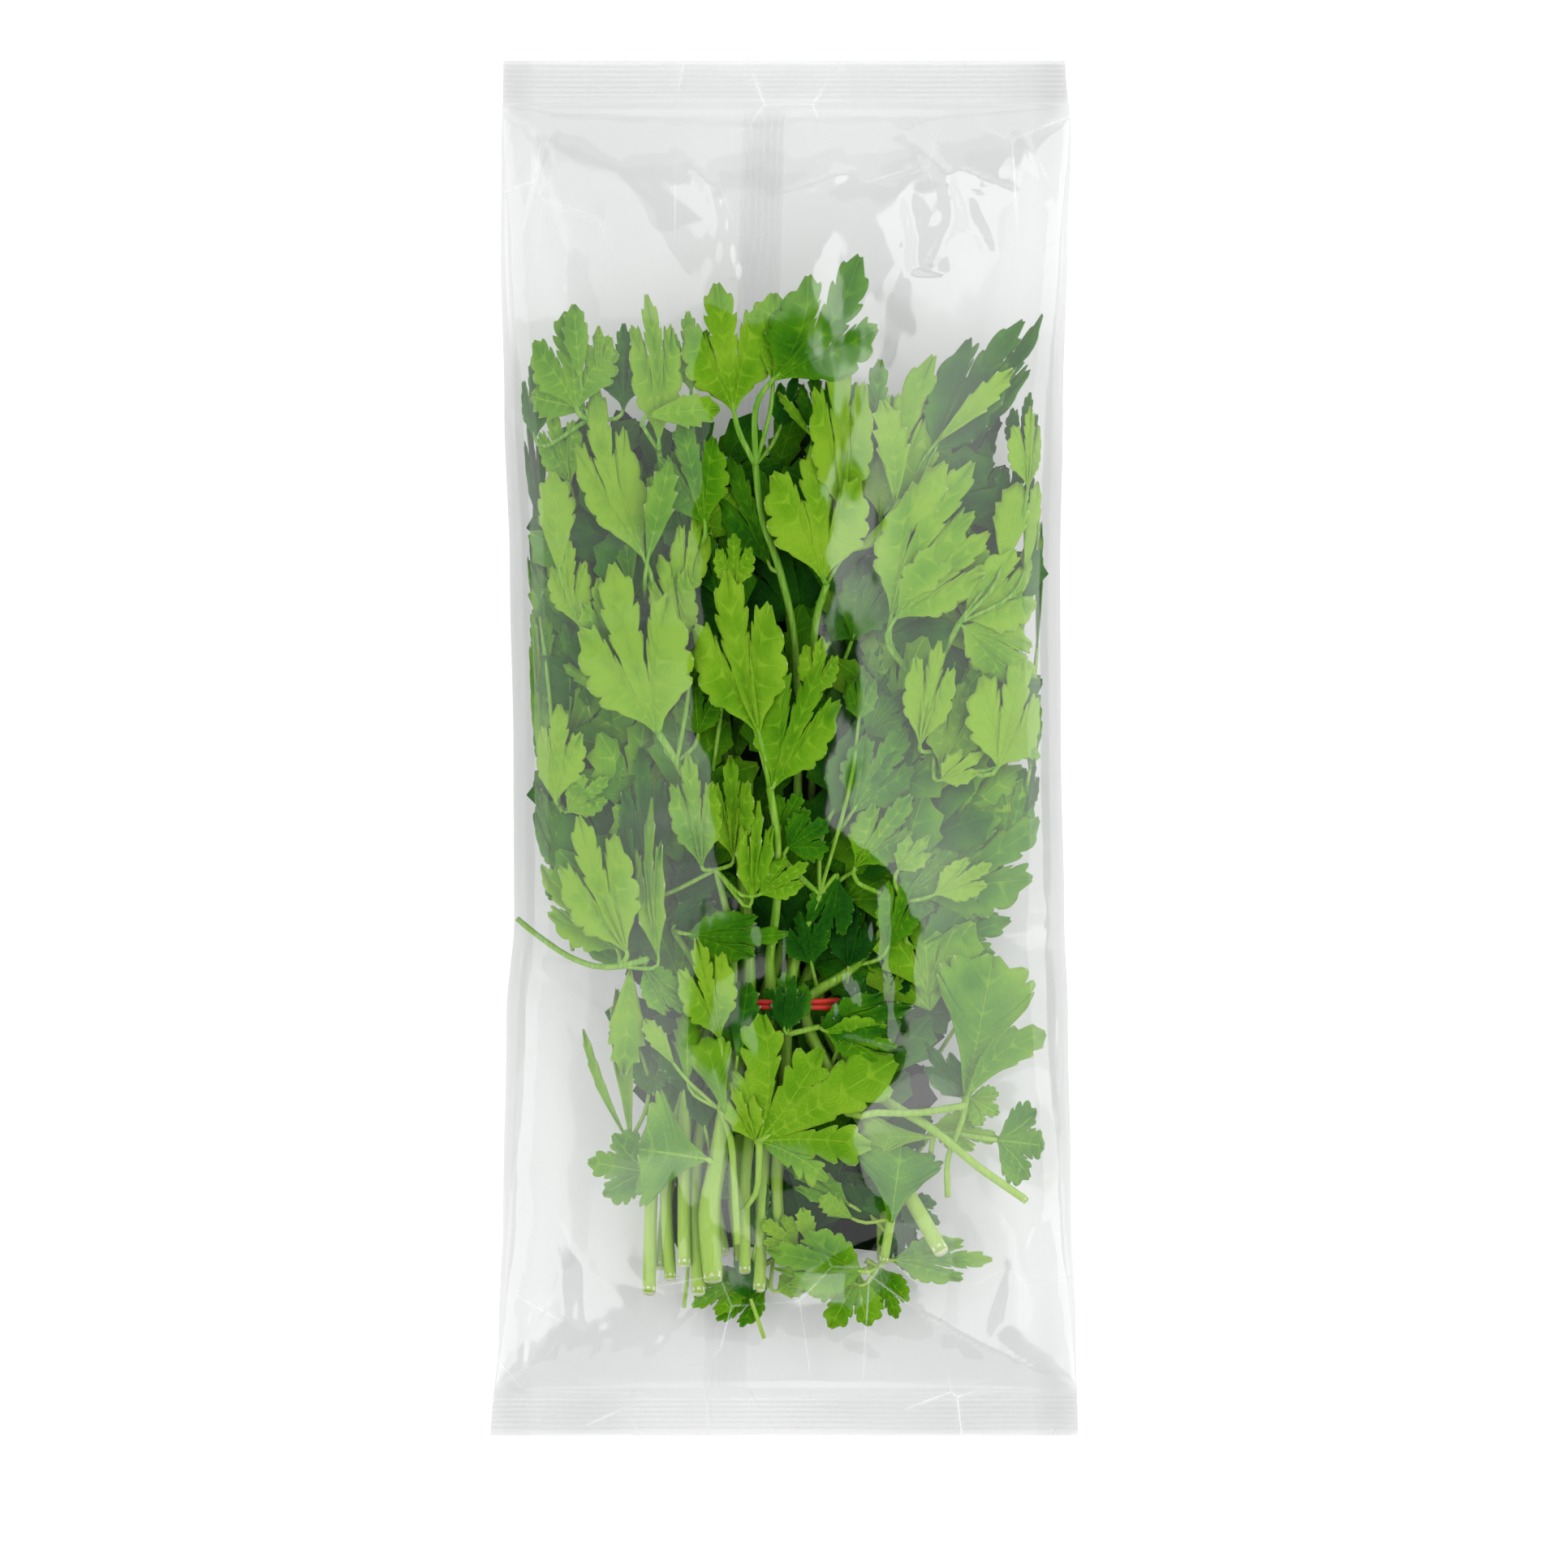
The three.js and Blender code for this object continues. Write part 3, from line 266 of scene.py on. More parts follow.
TUCKED = (  # leaflets between those: the same values, without a stem point
    (-57, 103, -59, 124, 7.8, 0.8, "blade", 0, 0.85),
    (-9.4, -85, -14, -69, 10.1, 2.2, "round", 0.1, 0.35), (-28, -97, -29, -81, 10.1, 3, "fan", 0, 0.3),
    (-22, -107, -25, -92, 8.2, 3.4, "fan", 0, 0.35),
    (-8.2, -141, -4.8, -121, 11.9, 5.5, "fan", 0, 0.35),
    (-9.4, -155, -14, -141, 9.6, 6.4, "round", 0, 0.5),
    (-27, -146, -24, -116, 14.2, 8.2, "fan", 0, 0.3), (18.1, -128, -0.2, -117, 9.6, 4.4, "fan", 0, 0.5),
    (25, -132, 14.6, -120, 11, 5, "round", 0, 0.15), (33, -128, 44, -134, 11.9, 6, "round", 0, 0.35),
    (31, -132, 34, -148, 11.9, 6.5, "fan", 0, 0.2), (-6, -87, -13, -65, 14, 1.2, "round", 0.08, 0.5),
    (16, -82, 23, -64, 10.5, 1.9, "fan", 0, 0.16), (7.8, -61, 4.3, -45, 14.2, 3.4, "fan", 0, 0.28),
    (18.1, -61, 19.7, -43, 14.2, 3.8, "round", 0, 0.15), (28, -72, 31, -56, 13.7, 4.6, "fan", 0, 0.1),
    (19, -18, 34, 5, 21, 2.4, "fan", 0, 0.62), (23, 3.9, 35, 16.9, 12.8, 3.4, "round", 0, 0.5),
    (24, 11.9, 36, 31, 16, 3.8, "fan", 0, 0.45), (42, -0.7, 58, 9.6, 13.7, 4.8, "fan", 0, 0.15),
    (-40, -1.8, -57, 16.5, 21, 6.2, "fan", 0, 0.14), (-40, -29, -49, -6.4, 13.3, 3.9, "fan", 0, 0.32),
    (-29, -32, -34, -9.1, 12.3, 4.4, "round", 0, 0.25), (74, 28, 77, 64, 6.4, 3.6, "blade", 0, 0.45),
    (10.1, 87, 8.2, 108, 11.9, 2.9, "fan", 0, 0.6), (-26, 100, -27, 123, 13.3, 2.3, "fan", 0, 0.75),
    (-52, 105, -52, 118, 9.6, 1.9, "round", 0, 0.8), (-47, 64, -51, 86, 16, 5.6, "fan", 0, 0.22),
    (-61, 37, -68, 53, 13.7, 5.2, "round", 0, 0.25), (42, 37, 49, 53, 16, 4.4, "fan", 0, 0.3),
    (63, 64, 68, 83, 13.7, 4.2, "fan", 0, 0.35), (35, 51, 28, 69, 16, 5.2, "fan", 0, 0.2),
    (-19.7, -20, -22, -1.8, 13.3, 4.2, "fan", 0, 0.35), (-61, -45, -63, -29, 13.7, 4.4, "fan", 0, 0.45),
    (51, -45, 60, -32, 16, 5, "fan", 0, 0.4), (49, -77, 57, -64, 15.1, 4.6, "round", 0, 0.35),
    (-40, -86, -44, -73, 10.5, 4.2, "fan", 0, 0.45), (10.1, 51, 5.5, 69, 14.2, 4.8, "fan", 0, 0.18),
    (7.8, 3.9, 4.3, 21, 13.7, 5, "fan", 0, 0.2), (-17.4, 64, -19.7, 83, 14.2, 4.8, "round", 0, 0.25),
    (-5.9, -93, -11.7, -77, 11.9, 3.6, "fan", 0, 0.3), (-33, 37, -38, 53, 14.6, 4.4, "fan", 0, 0.45),
    (-66, 3, -72, 21, 11.4, 4.6, "round", 0, 0.3), (66, 5, 72, 21, 15.1, 4.4, "fan", 0, 0.3),
    (68, -17.8, 73, -1.8, 11.4, 5, "round", 0, 0.35), (-66, 40, -71, 62, 13, 4.4, "fan", 0, 0.55),
    (-68, 18, -72, 40, 12, 3.8, "blade", 0, 0.6), (-66, -8, -71, 13, 13, 4.2, "fan", 0, 0.55),
    (-66, -31, -70, -10, 12, 4, "fan", 0, 0.6), (-55, 12, -62, 36, 16, 4.2, "fan", 0, 0.55),
    (-50, -14, -56, 9, 15, 4.4, "round", 0, 0.5), (-34, 14, -40, 37, 15, 4.2, "fan", 0, 0.55),
    (-30, 60, -34, 80, 13, 5, "fan", 0, 0.4), (60, 30, 66, 52, 15, 3.8, "fan", 0, 0.65),
    (70, 44, 74, 64, 11, 3.4, "fan", 0, 0.7), (56, 11, 62, 34, 15, 4.2, "fan", 0, 0.6),
    (70, -6, 74, 14, 11, 3.8, "blade", 0, 0.6), (62, -30, 68, -8, 14, 4, "fan", 0, 0.6),
    (47, -22, 53, 2, 16, 4.4, "round", 0, 0.55), (34, 8, 40, 31, 15, 4.4, "fan", 0, 0.55),
    (52, 62, 57, 86, 15, 4.2, "fan", 0, 0.45), (40, 76, 43, 96, 13, 4.4, "fan", 0, 0.5),
    (66, 82, 70, 100, 12, 4.6, "fan", 0, 0.35), (-13, -86, -10, -66, 9, 0.9, "blade", 0, 0.55),
    (24, 78, 27, 109, 17, 2.4, "fan", 0, 0.7), (19, 30, 29, 56, 17, 3.2, "fan", 0, 0.4),
    (44, -6, 52, 20, 17, 3, "fan", 0, 0.75), (-60, 74, -66, 96, 14, 3.2, "fan", 0, 0.7),
    (-48, 24, -52, 48, 15, 3, "fan", 0, 0.75),
)

# ---------------------------------------------------------------------------------------------
# The bag's form, as in the part's source
# ---------------------------------------------------------------------------------------------
BAG_SIDES = np.array([  # y, half width on the left, half width on the right
    (-194.5, 83.0, 83.2), (-165, 80.6, 82.4), (-130, 79.2, 81.0), (-75, 78.2, 80.0),
    (-48, 76.0, 79.0), (0, 76.2, 78.0), (50, 77.2, 77.8), (96, 78.8, 78.6),
    (142, 80.0, 80.0), (172, 79.8, 81.2), (194.5, 79.4, 79.6),
])
BAG_END = 194.5
CAVITY_END = 182.5
FILM = 0.5
CROWN = 37.0
FOLD_HEIGHT = 12.0
SEAL_HEIGHT = 2.0
END_FULLNESS = 3
END_ROUNDING = 0.6
TOP_FULLNESS = 2.6
BACK_FULLNESS = 3.4
SIDE_ROUNDING = 1 / 2.2
BACK_DIP = 0.9
BACK_PRESSED = 0.25
FILM_CLEARANCE = 1.3
LAYERS = 13
NEAR_FOLD = 0.985
FOLD_REACH = 11.0


def smooth(t):
    t = np.clip(t, 0, 1)
    return t * t * (3 - 2 * t)


def half_width(x, y):
    """Half of the bag's width at y, on the side that x is on."""
    y = np.clip(y, -BAG_END, BAG_END)
    row = np.clip(np.searchsorted(BAG_SIDES[:, 0], y), 1, len(BAG_SIDES) - 1)
    low, high = BAG_SIDES[row - 1], BAG_SIDES[row]
    t = smooth((y - low[..., 0]) / (high[..., 0] - low[..., 0]))
    left, right = (low[..., k] + (high[..., k] - low[..., k]) * t for k in (1, 2))
    return np.where(np.asarray(x) < 0, left, right)


def plump(y):
    """How full the bag is at y: 1 at its middle and 0 at the end seals."""
    return (1 - np.minimum(1, np.abs(y) / CAVITY_END) ** END_FULLNESS) ** END_ROUNDING


def fold_z(y):
    return SEAL_HEIGHT + (FOLD_HEIGHT - SEAL_HEIGHT) * plump(y)


def crown_z(y):
    return SEAL_HEIGHT + FILM + (CROWN - SEAL_HEIGHT - FILM) * plump(y)


def bulge(share, fullness):
    return np.maximum(0, 1 - np.abs(share) ** fullness) ** SIDE_ROUNDING


def front_z(share, y, inset=0.0):
    lip = 0 if inset else FILM
    return fold_z(y) + lip + (crown_z(y) - fold_z(y) - FILM) * bulge(share, TOP_FULLNESS)


def back_z(share, y, inset=0.0):
    lip = 0 if inset else FILM
    pressed = np.minimum(1, plump(y) / BACK_PRESSED)
    depth = (fold_z(y) + BACK_DIP - FILM) * pressed * bulge(share, BACK_FULLNESS)
    return np.maximum(inset, fold_z(y) - lip - depth)


def layer_z(layer, x, y):
    """Height of a layer of the bunch, between the back film and the front film."""
    share = np.minimum(NEAR_FOLD, np.abs(x) / (half_width(x, y) - FILM))
    low = back_z(share, y, FILM) + FILM_CLEARANCE
    high = np.maximum(low + 1, front_z(share, y, FILM) - FILM_CLEARANCE)
    return high + (low - high) * (layer + 0.25) / LAYERS


def layer_height(layer, x, y):
    """layer_z at one place, as a plain number."""
    return float(layer_z(layer, np.float64(x), np.float64(y)))


def inside_fold(x, y):
    """Leaves near a side fold are turned down along it."""
    start = half_width(x, y) - 2 - FOLD_REACH
    past = np.maximum(0, np.abs(x) - start)
    turned = np.sign(x) * (start + FOLD_REACH * (1 - np.exp(-past / FOLD_REACH)))
    return np.where(past > 0, turned, x)


# The middle of the front film lies nearly level, between these edges, which wander a little.
LEVEL_Y = (-148, -134, -109, -86, -52, -41, -18, 5, 83, 112, 194)
LEVEL_LEFT = (-3, -8, -14, -7, -7, -14, -20, -26, -23, -24, -15)
LEVEL_RIGHT = (4, 28, 19, 35, 41, 35, 12, 10, 12, 8, 8)
LEVEL_FALL = 0.35
LEVEL_BLEND = 1.1
SLOPE = 0.112
SLOPE_REACH = 14
FALL_STEPS = 161


def front_film_z(x, y):
    """The front film, with its level middle and its first slope beside it, on a grid whose
    columns are at x, an array of rows, and whose rows are at y."""
    steps = np.linspace(0, 1, FALL_STEPS)
    result = np.empty((len(y), x.shape[1]))
    for side in (-1, 1):
        half = half_width(np.full(len(y), side), y)
        edge = np.interp(y, LEVEL_Y, LEVEL_LEFT if side < 0 else LEVEL_RIGHT) * side
        edge = edge + 1.7 * np.sin(y / 7.3 + side) + 1.1 * np.sin(y / 3.1)
        reach = steps[None, :] * half[:, None]
        natural = front_z(steps[None, :], y[:, None])
        fall = -np.diff(natural, axis=1)
        middle = (reach[:, 1:] + reach[:, :-1]) / 2
        out = 1 / (1 + np.exp(-(middle - edge[:, None]) / LEVEL_BLEND))
        run = np.diff(reach, axis=1)
        slope = (SLOPE * np.exp(-np.maximum(0, middle - edge[:, None]) / SLOPE_REACH)
                 * plump(y)[:, None] ** 0.15)
        wanted = fall * (LEVEL_FALL + (1 - LEVEL_FALL) * out) + slope * out * run
        inner = np.sum(fall * (1 - out) * LEVEL_FALL, axis=1)
        outer = np.sum(wanted, axis=1) - inner
        keep = np.where(outer > 0.5, (np.sum(fall, axis=1) - inner) / np.maximum(outer, 0.5), 1)
        wanted = wanted * np.where(out > 0.5, keep[:, None], 1)
        drop = np.concatenate([np.zeros((len(y), 1)), np.cumsum(wanted, axis=1)], axis=1)
        drop *= ((natural[:, 0] - natural[:, -1]) / np.maximum(drop[:, -1], 1e-6))[:, None]
        for j in range(len(y)):
            mine = x[j] < 0 if side < 0 else x[j] >= 0
            at = np.interp(np.abs(x[j][mine]) / half[j], steps, drop[j])
            result[j, mine] = natural[j, 0] - at
    return result


# ---------------------------------------------------------------------------------------------
# The front film's relief: creases, side grooves, a soft crumple, and flat facets near the ends
# ---------------------------------------------------------------------------------------------
FILM_COLUMNS = 141
FILM_ROWS = 321
CREASES = (  # x, y, x, y, height, half breadth
    (-45, 193, -20, 156, 0.7, 1.0), (-20, 156, -14, 131, 0.6, 0.9),
    (-63, 181, -74, 142, 0.5, 1.2), (26, 181, 47, 160, 0.8, 1.0), (47, 160, 58, 138, -0.5, 1.4),
    (65, 177, 74, 158, 0.6, 0.9), (42, 150, 34, 140, 0.5, 0.8), (60, 184, 30, 172, 0.4, 0.8),
    (-24, -155, -52, -192, 0.7, 1.0), (38, -157, 74, -178, 0.6, 1.0), (12, -160, 20, -183, 0.4, 1.1),
    (-72, -59, -47, -77, 0.4, 1.0), (73, -41, 75, -49, 0.5, 0.8), (75, -49, 73, -57, 0.5, 0.8),
    (-64, -150, -76, -170, 0.4, 1.2), (52, -120, 70, -104, 0.3, 1.5),
    (25, -40, 29, -84, 0.4, 1.3), (15, -62, 19, -72, 0.6, 0.8),
    (15, -78, 37, -84, 0.5, 1.0), (45, 162, 48, 149, 0.6, 0.8), (48, 149, 40, 134, 0.6, 0.8),
    (-3, 154, 19, 162, 0.5, 0.7), (48, 163, 76, 151, 0.5, 0.8),
)
END_CREASES = 34
SOFT_FOLDS = ((24, 2.0, 0.3), (8, 5.0, 0.07))  # size, seed, height
LOOSE_FOLDS = ((5.5, 9.0, 0.5), (11, 3.0, 0.8))
END_FACETS = ((19, 0.6, 3), (10, 0.16, 4))  # size, height, seed
FACET_REACH = (100, 210)
FACET_STRETCH = 1.5
GROOVE_INSET, GROOVE_DEPTH, GROOVE_BREADTH = 4.4, 0.22, 1.4
FILM_GAP = 0.35


def crease(x, y, x0, y0, x1, y1, height, breadth):
    """A straight crease from one point to another, fading at its ends."""
    along = np.array([x1 - x0, y1 - y0])
    length = np.hypot(*along)
    along = along / length
    t = ((x - x0) * along[0] + (y - y0) * along[1]) / length
    off = np.abs((x - x0) * along[1] - (y - y0) * along[0])
    ends = np.clip(np.minimum(t, 1 - t) * length / 3 + 0.35, 0, 1) * (t > -0.03) * (t < 1.03)
    return height * ends * np.exp(-np.minimum(off / breadth, 5) ** 1.3)


def crumple(x, y, size, seed):
    """Soft waves, a little longer along the bag."""
    flat = np.array([noise.noise(Vector((a / size, b / size * 0.7, seed)))
                     for a, b in zip(x.ravel(), y.ravel())])
    return flat.reshape(x.shape)


def crumples(x, y, folds):
    return sum(crumple(x, y, size, seed) * height for size, seed, height in folds)


def facets(x, y, size, height, seed):
    """Crumpled film: flat facets between scattered corners, longer along the bag."""
    draw = np.random.default_rng(seed)
    count = int(4 * FACET_REACH[0] * FACET_REACH[1] / size**2)
    far = np.array((FACET_REACH[0], FACET_REACH[1] / FACET_STRETCH))
    corners = draw.uniform(-far, far, (count, 2))
    heights = draw.normal(0, height, count)
    places, _, triangles, sources, *_ = geometry.delaunay_2d_cdt(
        [Vector(corner) for corner in corners.tolist()], [], [], 0, 1e-6)
    result = np.zeros_like(x)
    y = y / FACET_STRETCH
    for triangle in triangles:
        a, b, c = (np.array(places[k]) for k in triangle)
        za, zb, zc = (heights[sources[k][0]] for k in triangle)
        whole = (b[0] - a[0]) * (c[1] - a[1]) - (c[0] - a[0]) * (b[1] - a[1])
        v = ((x - a[0]) * (c[1] - a[1]) - (c[0] - a[0]) * (y - a[1])) / whole
        w = ((b[0] - a[0]) * (y - a[1]) - (x - a[0]) * (b[1] - a[1])) / whole
        inside = (v >= 0) & (w >= 0) & (v + w <= 1)
        result[inside] = (za + (zb - za) * v + (zc - za) * w)[inside]
    return result


def film_relief(x, y, share):
    rng = np.random.default_rng(11)
    relief = np.zeros_like(x)
    for line in CREASES:
        relief += crease(x, y, *line)
    for end in (-1, 1):
        for _ in range(END_CREASES):
            x0 = rng.uniform(-78, 78)
            length = rng.uniform(6, 38)
            turn = rng.normal(0, 0.35) - 0.25 * x0 / 80
            x1, y1 = x0 + length * math.sin(turn), end * (182 - length * math.cos(turn))
            relief += crease(x, y, x0, end * 183, x1, y1, rng.uniform(-0.3, 0.42),
                             rng.uniform(0.5, 1.5))
    calm = np.clip((182 - np.abs(y)) / 8, 0, 1) * (1 - np.abs(share) ** 10)
    loose = np.exp(-(((x - 14) / 26) ** 2 + ((y + 60) / 26) ** 2))
    ends = np.clip((np.abs(y) - 105) / 40, 0, 1)
    soft = crumples(x, y, SOFT_FOLDS)
    soft += crumples(x, y, LOOSE_FOLDS) * loose
    soft -= np.abs(crumple(x, y, 22, 7.0)) * 0.7 * ends
    soft += sum(facets(x, y, *row) for row in END_FACETS) * ends
    for side in (-1, 1):
        groove = side * (half_width(np.full_like(y, side), y) - GROOVE_INSET)
        relief -= (GROOVE_DEPTH * np.exp(-(((x - groove) / GROOVE_BREADTH) ** 2))
                   * (np.abs(y - 20) < 140))
    return (relief + soft) * calm


def film_grid():
    """Columns and rows of the bag's skin, shared by its front and its back."""
    share = np.sin(np.pi / 2 * np.linspace(-1, 1, FILM_COLUMNS))
    y = np.linspace(-BAG_END, BAG_END, FILM_ROWS)
    half = half_width(np.broadcast_to(share, (FILM_ROWS, FILM_COLUMNS)), y[:, None]
                      + np.zeros(FILM_COLUMNS))
    return share[None, :], y, share[None, :] * half


SHARE, ROW_Y, COLUMN_X = film_grid()
ROW_GRID = np.broadcast_to(ROW_Y[:, None], COLUMN_X.shape)
FRONT = front_film_z(COLUMN_X, ROW_Y) + film_relief(COLUMN_X, ROW_GRID, SHARE)
FRONT = np.maximum(FRONT, back_z(SHARE, ROW_GRID) + FILM_GAP)


def bag_share(x, y):
    """How far across the bag a point is: 0 in the middle and 1 or -1 at a side fold."""
    return np.clip(x / half_width(x, y), -1, 1)


def film_over(x, y):
    """Height of the front film over points of the bunch."""
    column = (np.arcsin(bag_share(x, y)) / np.pi * 2 + 1) / 2 * (FILM_COLUMNS - 1)
    row = (y + BAG_END) / (2 * BAG_END) * (FILM_ROWS - 1)
    c = np.clip(column.astype(int), 0, FILM_COLUMNS - 2)
    r = np.clip(row.astype(int), 0, FILM_ROWS - 2)
    u, v = column - c, row - r
    low = FRONT[r, c] * (1 - u) + FRONT[r, c + 1] * u
    high = FRONT[r + 1, c] * (1 - u) + FRONT[r + 1, c + 1] * u
    return low * (1 - v) + high * v


# ---------------------------------------------------------------------------------------------
# Meshes
# ---------------------------------------------------------------------------------------------
def placed(name, data):
    """A new object in the scene, at the origin."""
    made = bpy.data.objects.new(name, data)
    bpy.context.scene.collection.objects.link(made)
    return made


def discard(made):
    """Remove an object and its data."""
    data = made.data
    bpy.data.objects.remove(made)
    (bpy.data.curves if isinstance(data, bpy.types.Curve) else bpy.data.meshes).remove(data)


class Pieces:
    """Points in millimetres, faces, and per-point values, gathered into one mesh."""

    def __init__(self):
        self.points, self.faces, self.slots = [], [], []
        self.values = {"freshness_and_shade": [], "pale": [], "vein": []}
        self.count = 0

    def add(self, points, faces, slot=0, freshness_and_shade=0.5, pale=0.0, vein=(0.0, 0.0, 0.0)):
        n = len(points)
        self.points.append(np.asarray(points, dtype=float))
        self.faces += [tuple(int(i) + self.count for i in face) for face in faces]
        self.slots += [slot] * len(faces)
        self.values["freshness_and_shade"].append(np.broadcast_to(freshness_and_shade, n))
        self.values["pale"].append(np.broadcast_to(pale, n))
        self.values["vein"].append(np.broadcast_to(vein, (n, 3)))
        self.count += n

    def mesh(self, name, materials):
        data = bpy.data.meshes.new(name)
        data.from_pydata((np.concatenate(self.points) * MM).tolist(), [], self.faces)
        for material in materials:
            data.materials.append(material)
        data.polygons.foreach_set("material_index", self.slots)
        data.polygons.foreach_set("use_smooth", [True] * len(self.faces))
        for key, values in self.values.items():
            vector = key == "vein"
            layer = data.attributes.new(key, "FLOAT_VECTOR" if vector else "FLOAT", "POINT")
            layer.data.foreach_set("vector" if vector else "value",
                                   np.concatenate(values).astype(np.float32).ravel())
        data.update()
        return placed(name, data)


def sheet_faces(rows, count, turned=False):
    """Faces of a closed sheet: its upper points row by row, then its lower ones. Seen from above,
    its rows run ahead and its columns to the left; in a turned sheet they run to the right."""
    number = np.arange(rows * count).reshape(rows, count)
    below = rows * count
    top = [(number[r, c], number[r + 1, c], number[r + 1, c + 1], number[r, c + 1])
           for r in range(rows - 1) for c in range(count - 1)]
    under = [tuple(i + below for i in face[::-1]) for face in top]
    rim = [*number[0, :-1], *number[:-1, -1], *number[-1, :0:-1], *number[:0:-1, 0]]
    wall = [(a, b, b + below, a + below) for a, b in zip(rim, rim[1:] + rim[:1])]
    faces = top + under + wall
    return [face[:1] + face[:0:-1] for face in faces] if turned else faces


# ---------------------------------------------------------------------------------------------
# Leaflets
# ---------------------------------------------------------------------------------------------
LEAF_THICKNESS = 0.3
TOOTH_DEPTH = 0.07
# Lobes of a leaflet of length 1: (turn in degrees, length, left margin, right margin). A margin
# holds where its teeth begin, and points (along the lobe, out from its midrib).
END = ((0.94, 0.15), (1.0, 0.03))
SIDE_OUTER = (0.4, ((0.0, 0.014), (0.16, 0.055), (0.32, 0.16), (0.47, 0.27), (0.62, 0.315),
                    (0.8, 0.255), *END))
SIDE_INNER = (0.5, ((0.0, 0.016), (0.27, 0.09), (0.5, 0.152), (0.62, 0.163), (0.8, 0.175), *END))
MIDDLE = (0.46, ((0.0, 0.016), (0.25, 0.085), (0.46, 0.14), (0.58, 0.168), (0.76, 0.2),
                 (0.87, 0.17), *END))
SLIM = (0.55, ((0.0, 0.016), (0.28, 0.078), (0.55, 0.135), (0.66, 0.155), (0.8, 0.18),
               (0.88, 0.155), *END))
FLAT_OUTER = (0.34, ((0.0, 0.016), (0.14, 0.08), (0.3, 0.22), (0.48, 0.32), (0.68, 0.345),
                     (0.84, 0.27), *END))
FLAT_INNER = (0.6, ((0.0, 0.016), (0.3, 0.105), (0.6, 0.192), (0.75, 0.205), (0.86, 0.19), *END))
FLAT_MIDDLE = (0.54, ((0.0, 0.016), (0.27, 0.095), (0.54, 0.172), (0.68, 0.205), (0.82, 0.195),
                      *END))
BLADE = (0.42, ((0.0, 0.014), (0.25, 0.11), (0.45, 0.2), (0.62, 0.245), (0.8, 0.2), *END))
WEDGE = (0.72, ((0.0, 0.02), (0.3, 0.12), (0.55, 0.27), (0.72, 0.42), (0.85, 0.45), (0.95, 0.31),
                (1.0, 0.05)))
LOBES = {
    "fan": ((33, 0.88, SIDE_OUTER, SIDE_INNER), (-33, 0.88, SIDE_INNER, SIDE_OUTER),
            (0, 1.0, MIDDLE, MIDDLE)),
    "round": ((35, 0.84, FLAT_OUTER, FLAT_INNER), (-35, 0.84, FLAT_INNER, FLAT_OUTER),
              (0, 1.0, FLAT_MIDDLE, FLAT_MIDDLE)),
    "star": tuple((turn, length, SLIM, SLIM) for turn, length in (
        (79, 0.47), (-56, 0.52), (-31, 0.73), (53, 0.82), (23, 0.74), (0, 1.0))),
    "blade": ((0, 1.0, BLADE, BLADE),),
    "wedge": ((0, 1.0, WEDGE, WEDGE),),
}
FINE_TOOTH = ((0.0, 1.0), (0.14, 0.42), (0.36, 0.04), (0.6, -0.12), (0.84, 0.12))
PLAIN_TOOTH = ((0.0, 1.0), (0.6, -0.1))
FINE_WIDTH = 12
UNDER_FILM = 0.42
OVER_BACK = 0.5
MIDRIB_POINTS = 12


def lobe_rows(margin, shift, teeth, tooth, plain_rows):
    """Rows of one half of a lobe: margin point, notch depth, vein number and tip mark."""
    begin, margin = margin[0], np.array(margin[1])
    if begin > 0.5 and teeth > 1:
        teeth, plain_rows = teeth - 1, plain_rows + len(tooth)
    begin = begin + shift
    whole = begin * np.arange(plain_rows) / plain_rows
    rows = [(a, 0.0, 0.5 * k, 0.0) for k, a in enumerate(whole)]
    edges = begin + (1 - begin) * (np.arange(teeth + 1) / (teeth + 0.45)) ** 0.92
    for k in range(teeth):
        for f, depth in tooth:
            depth = depth * (0.5 if k == 0 and f == 0 else 1)
            rows.append((edges[k] + (edges[k + 1] - edges[k]) * f, depth,
                         0.5 * plain_rows + k + f * 0.8, 1.0 if depth < 0 else 0.0))
    rows.append((edges[-1], 0.8, 0.5 * plain_rows + teeth, 0.0))
    rows.append((1.0, 0.0, 0.5 * plain_rows + teeth + 0.5, 1.0))
    rows = np.array(rows)
    return rows[:, 0], np.interp(rows[:, 0], margin[:, 0], margin[:, 1]), *rows[:, 1:].T


def toward(turn):
    return np.array([math.cos(turn), math.sin(turn)])


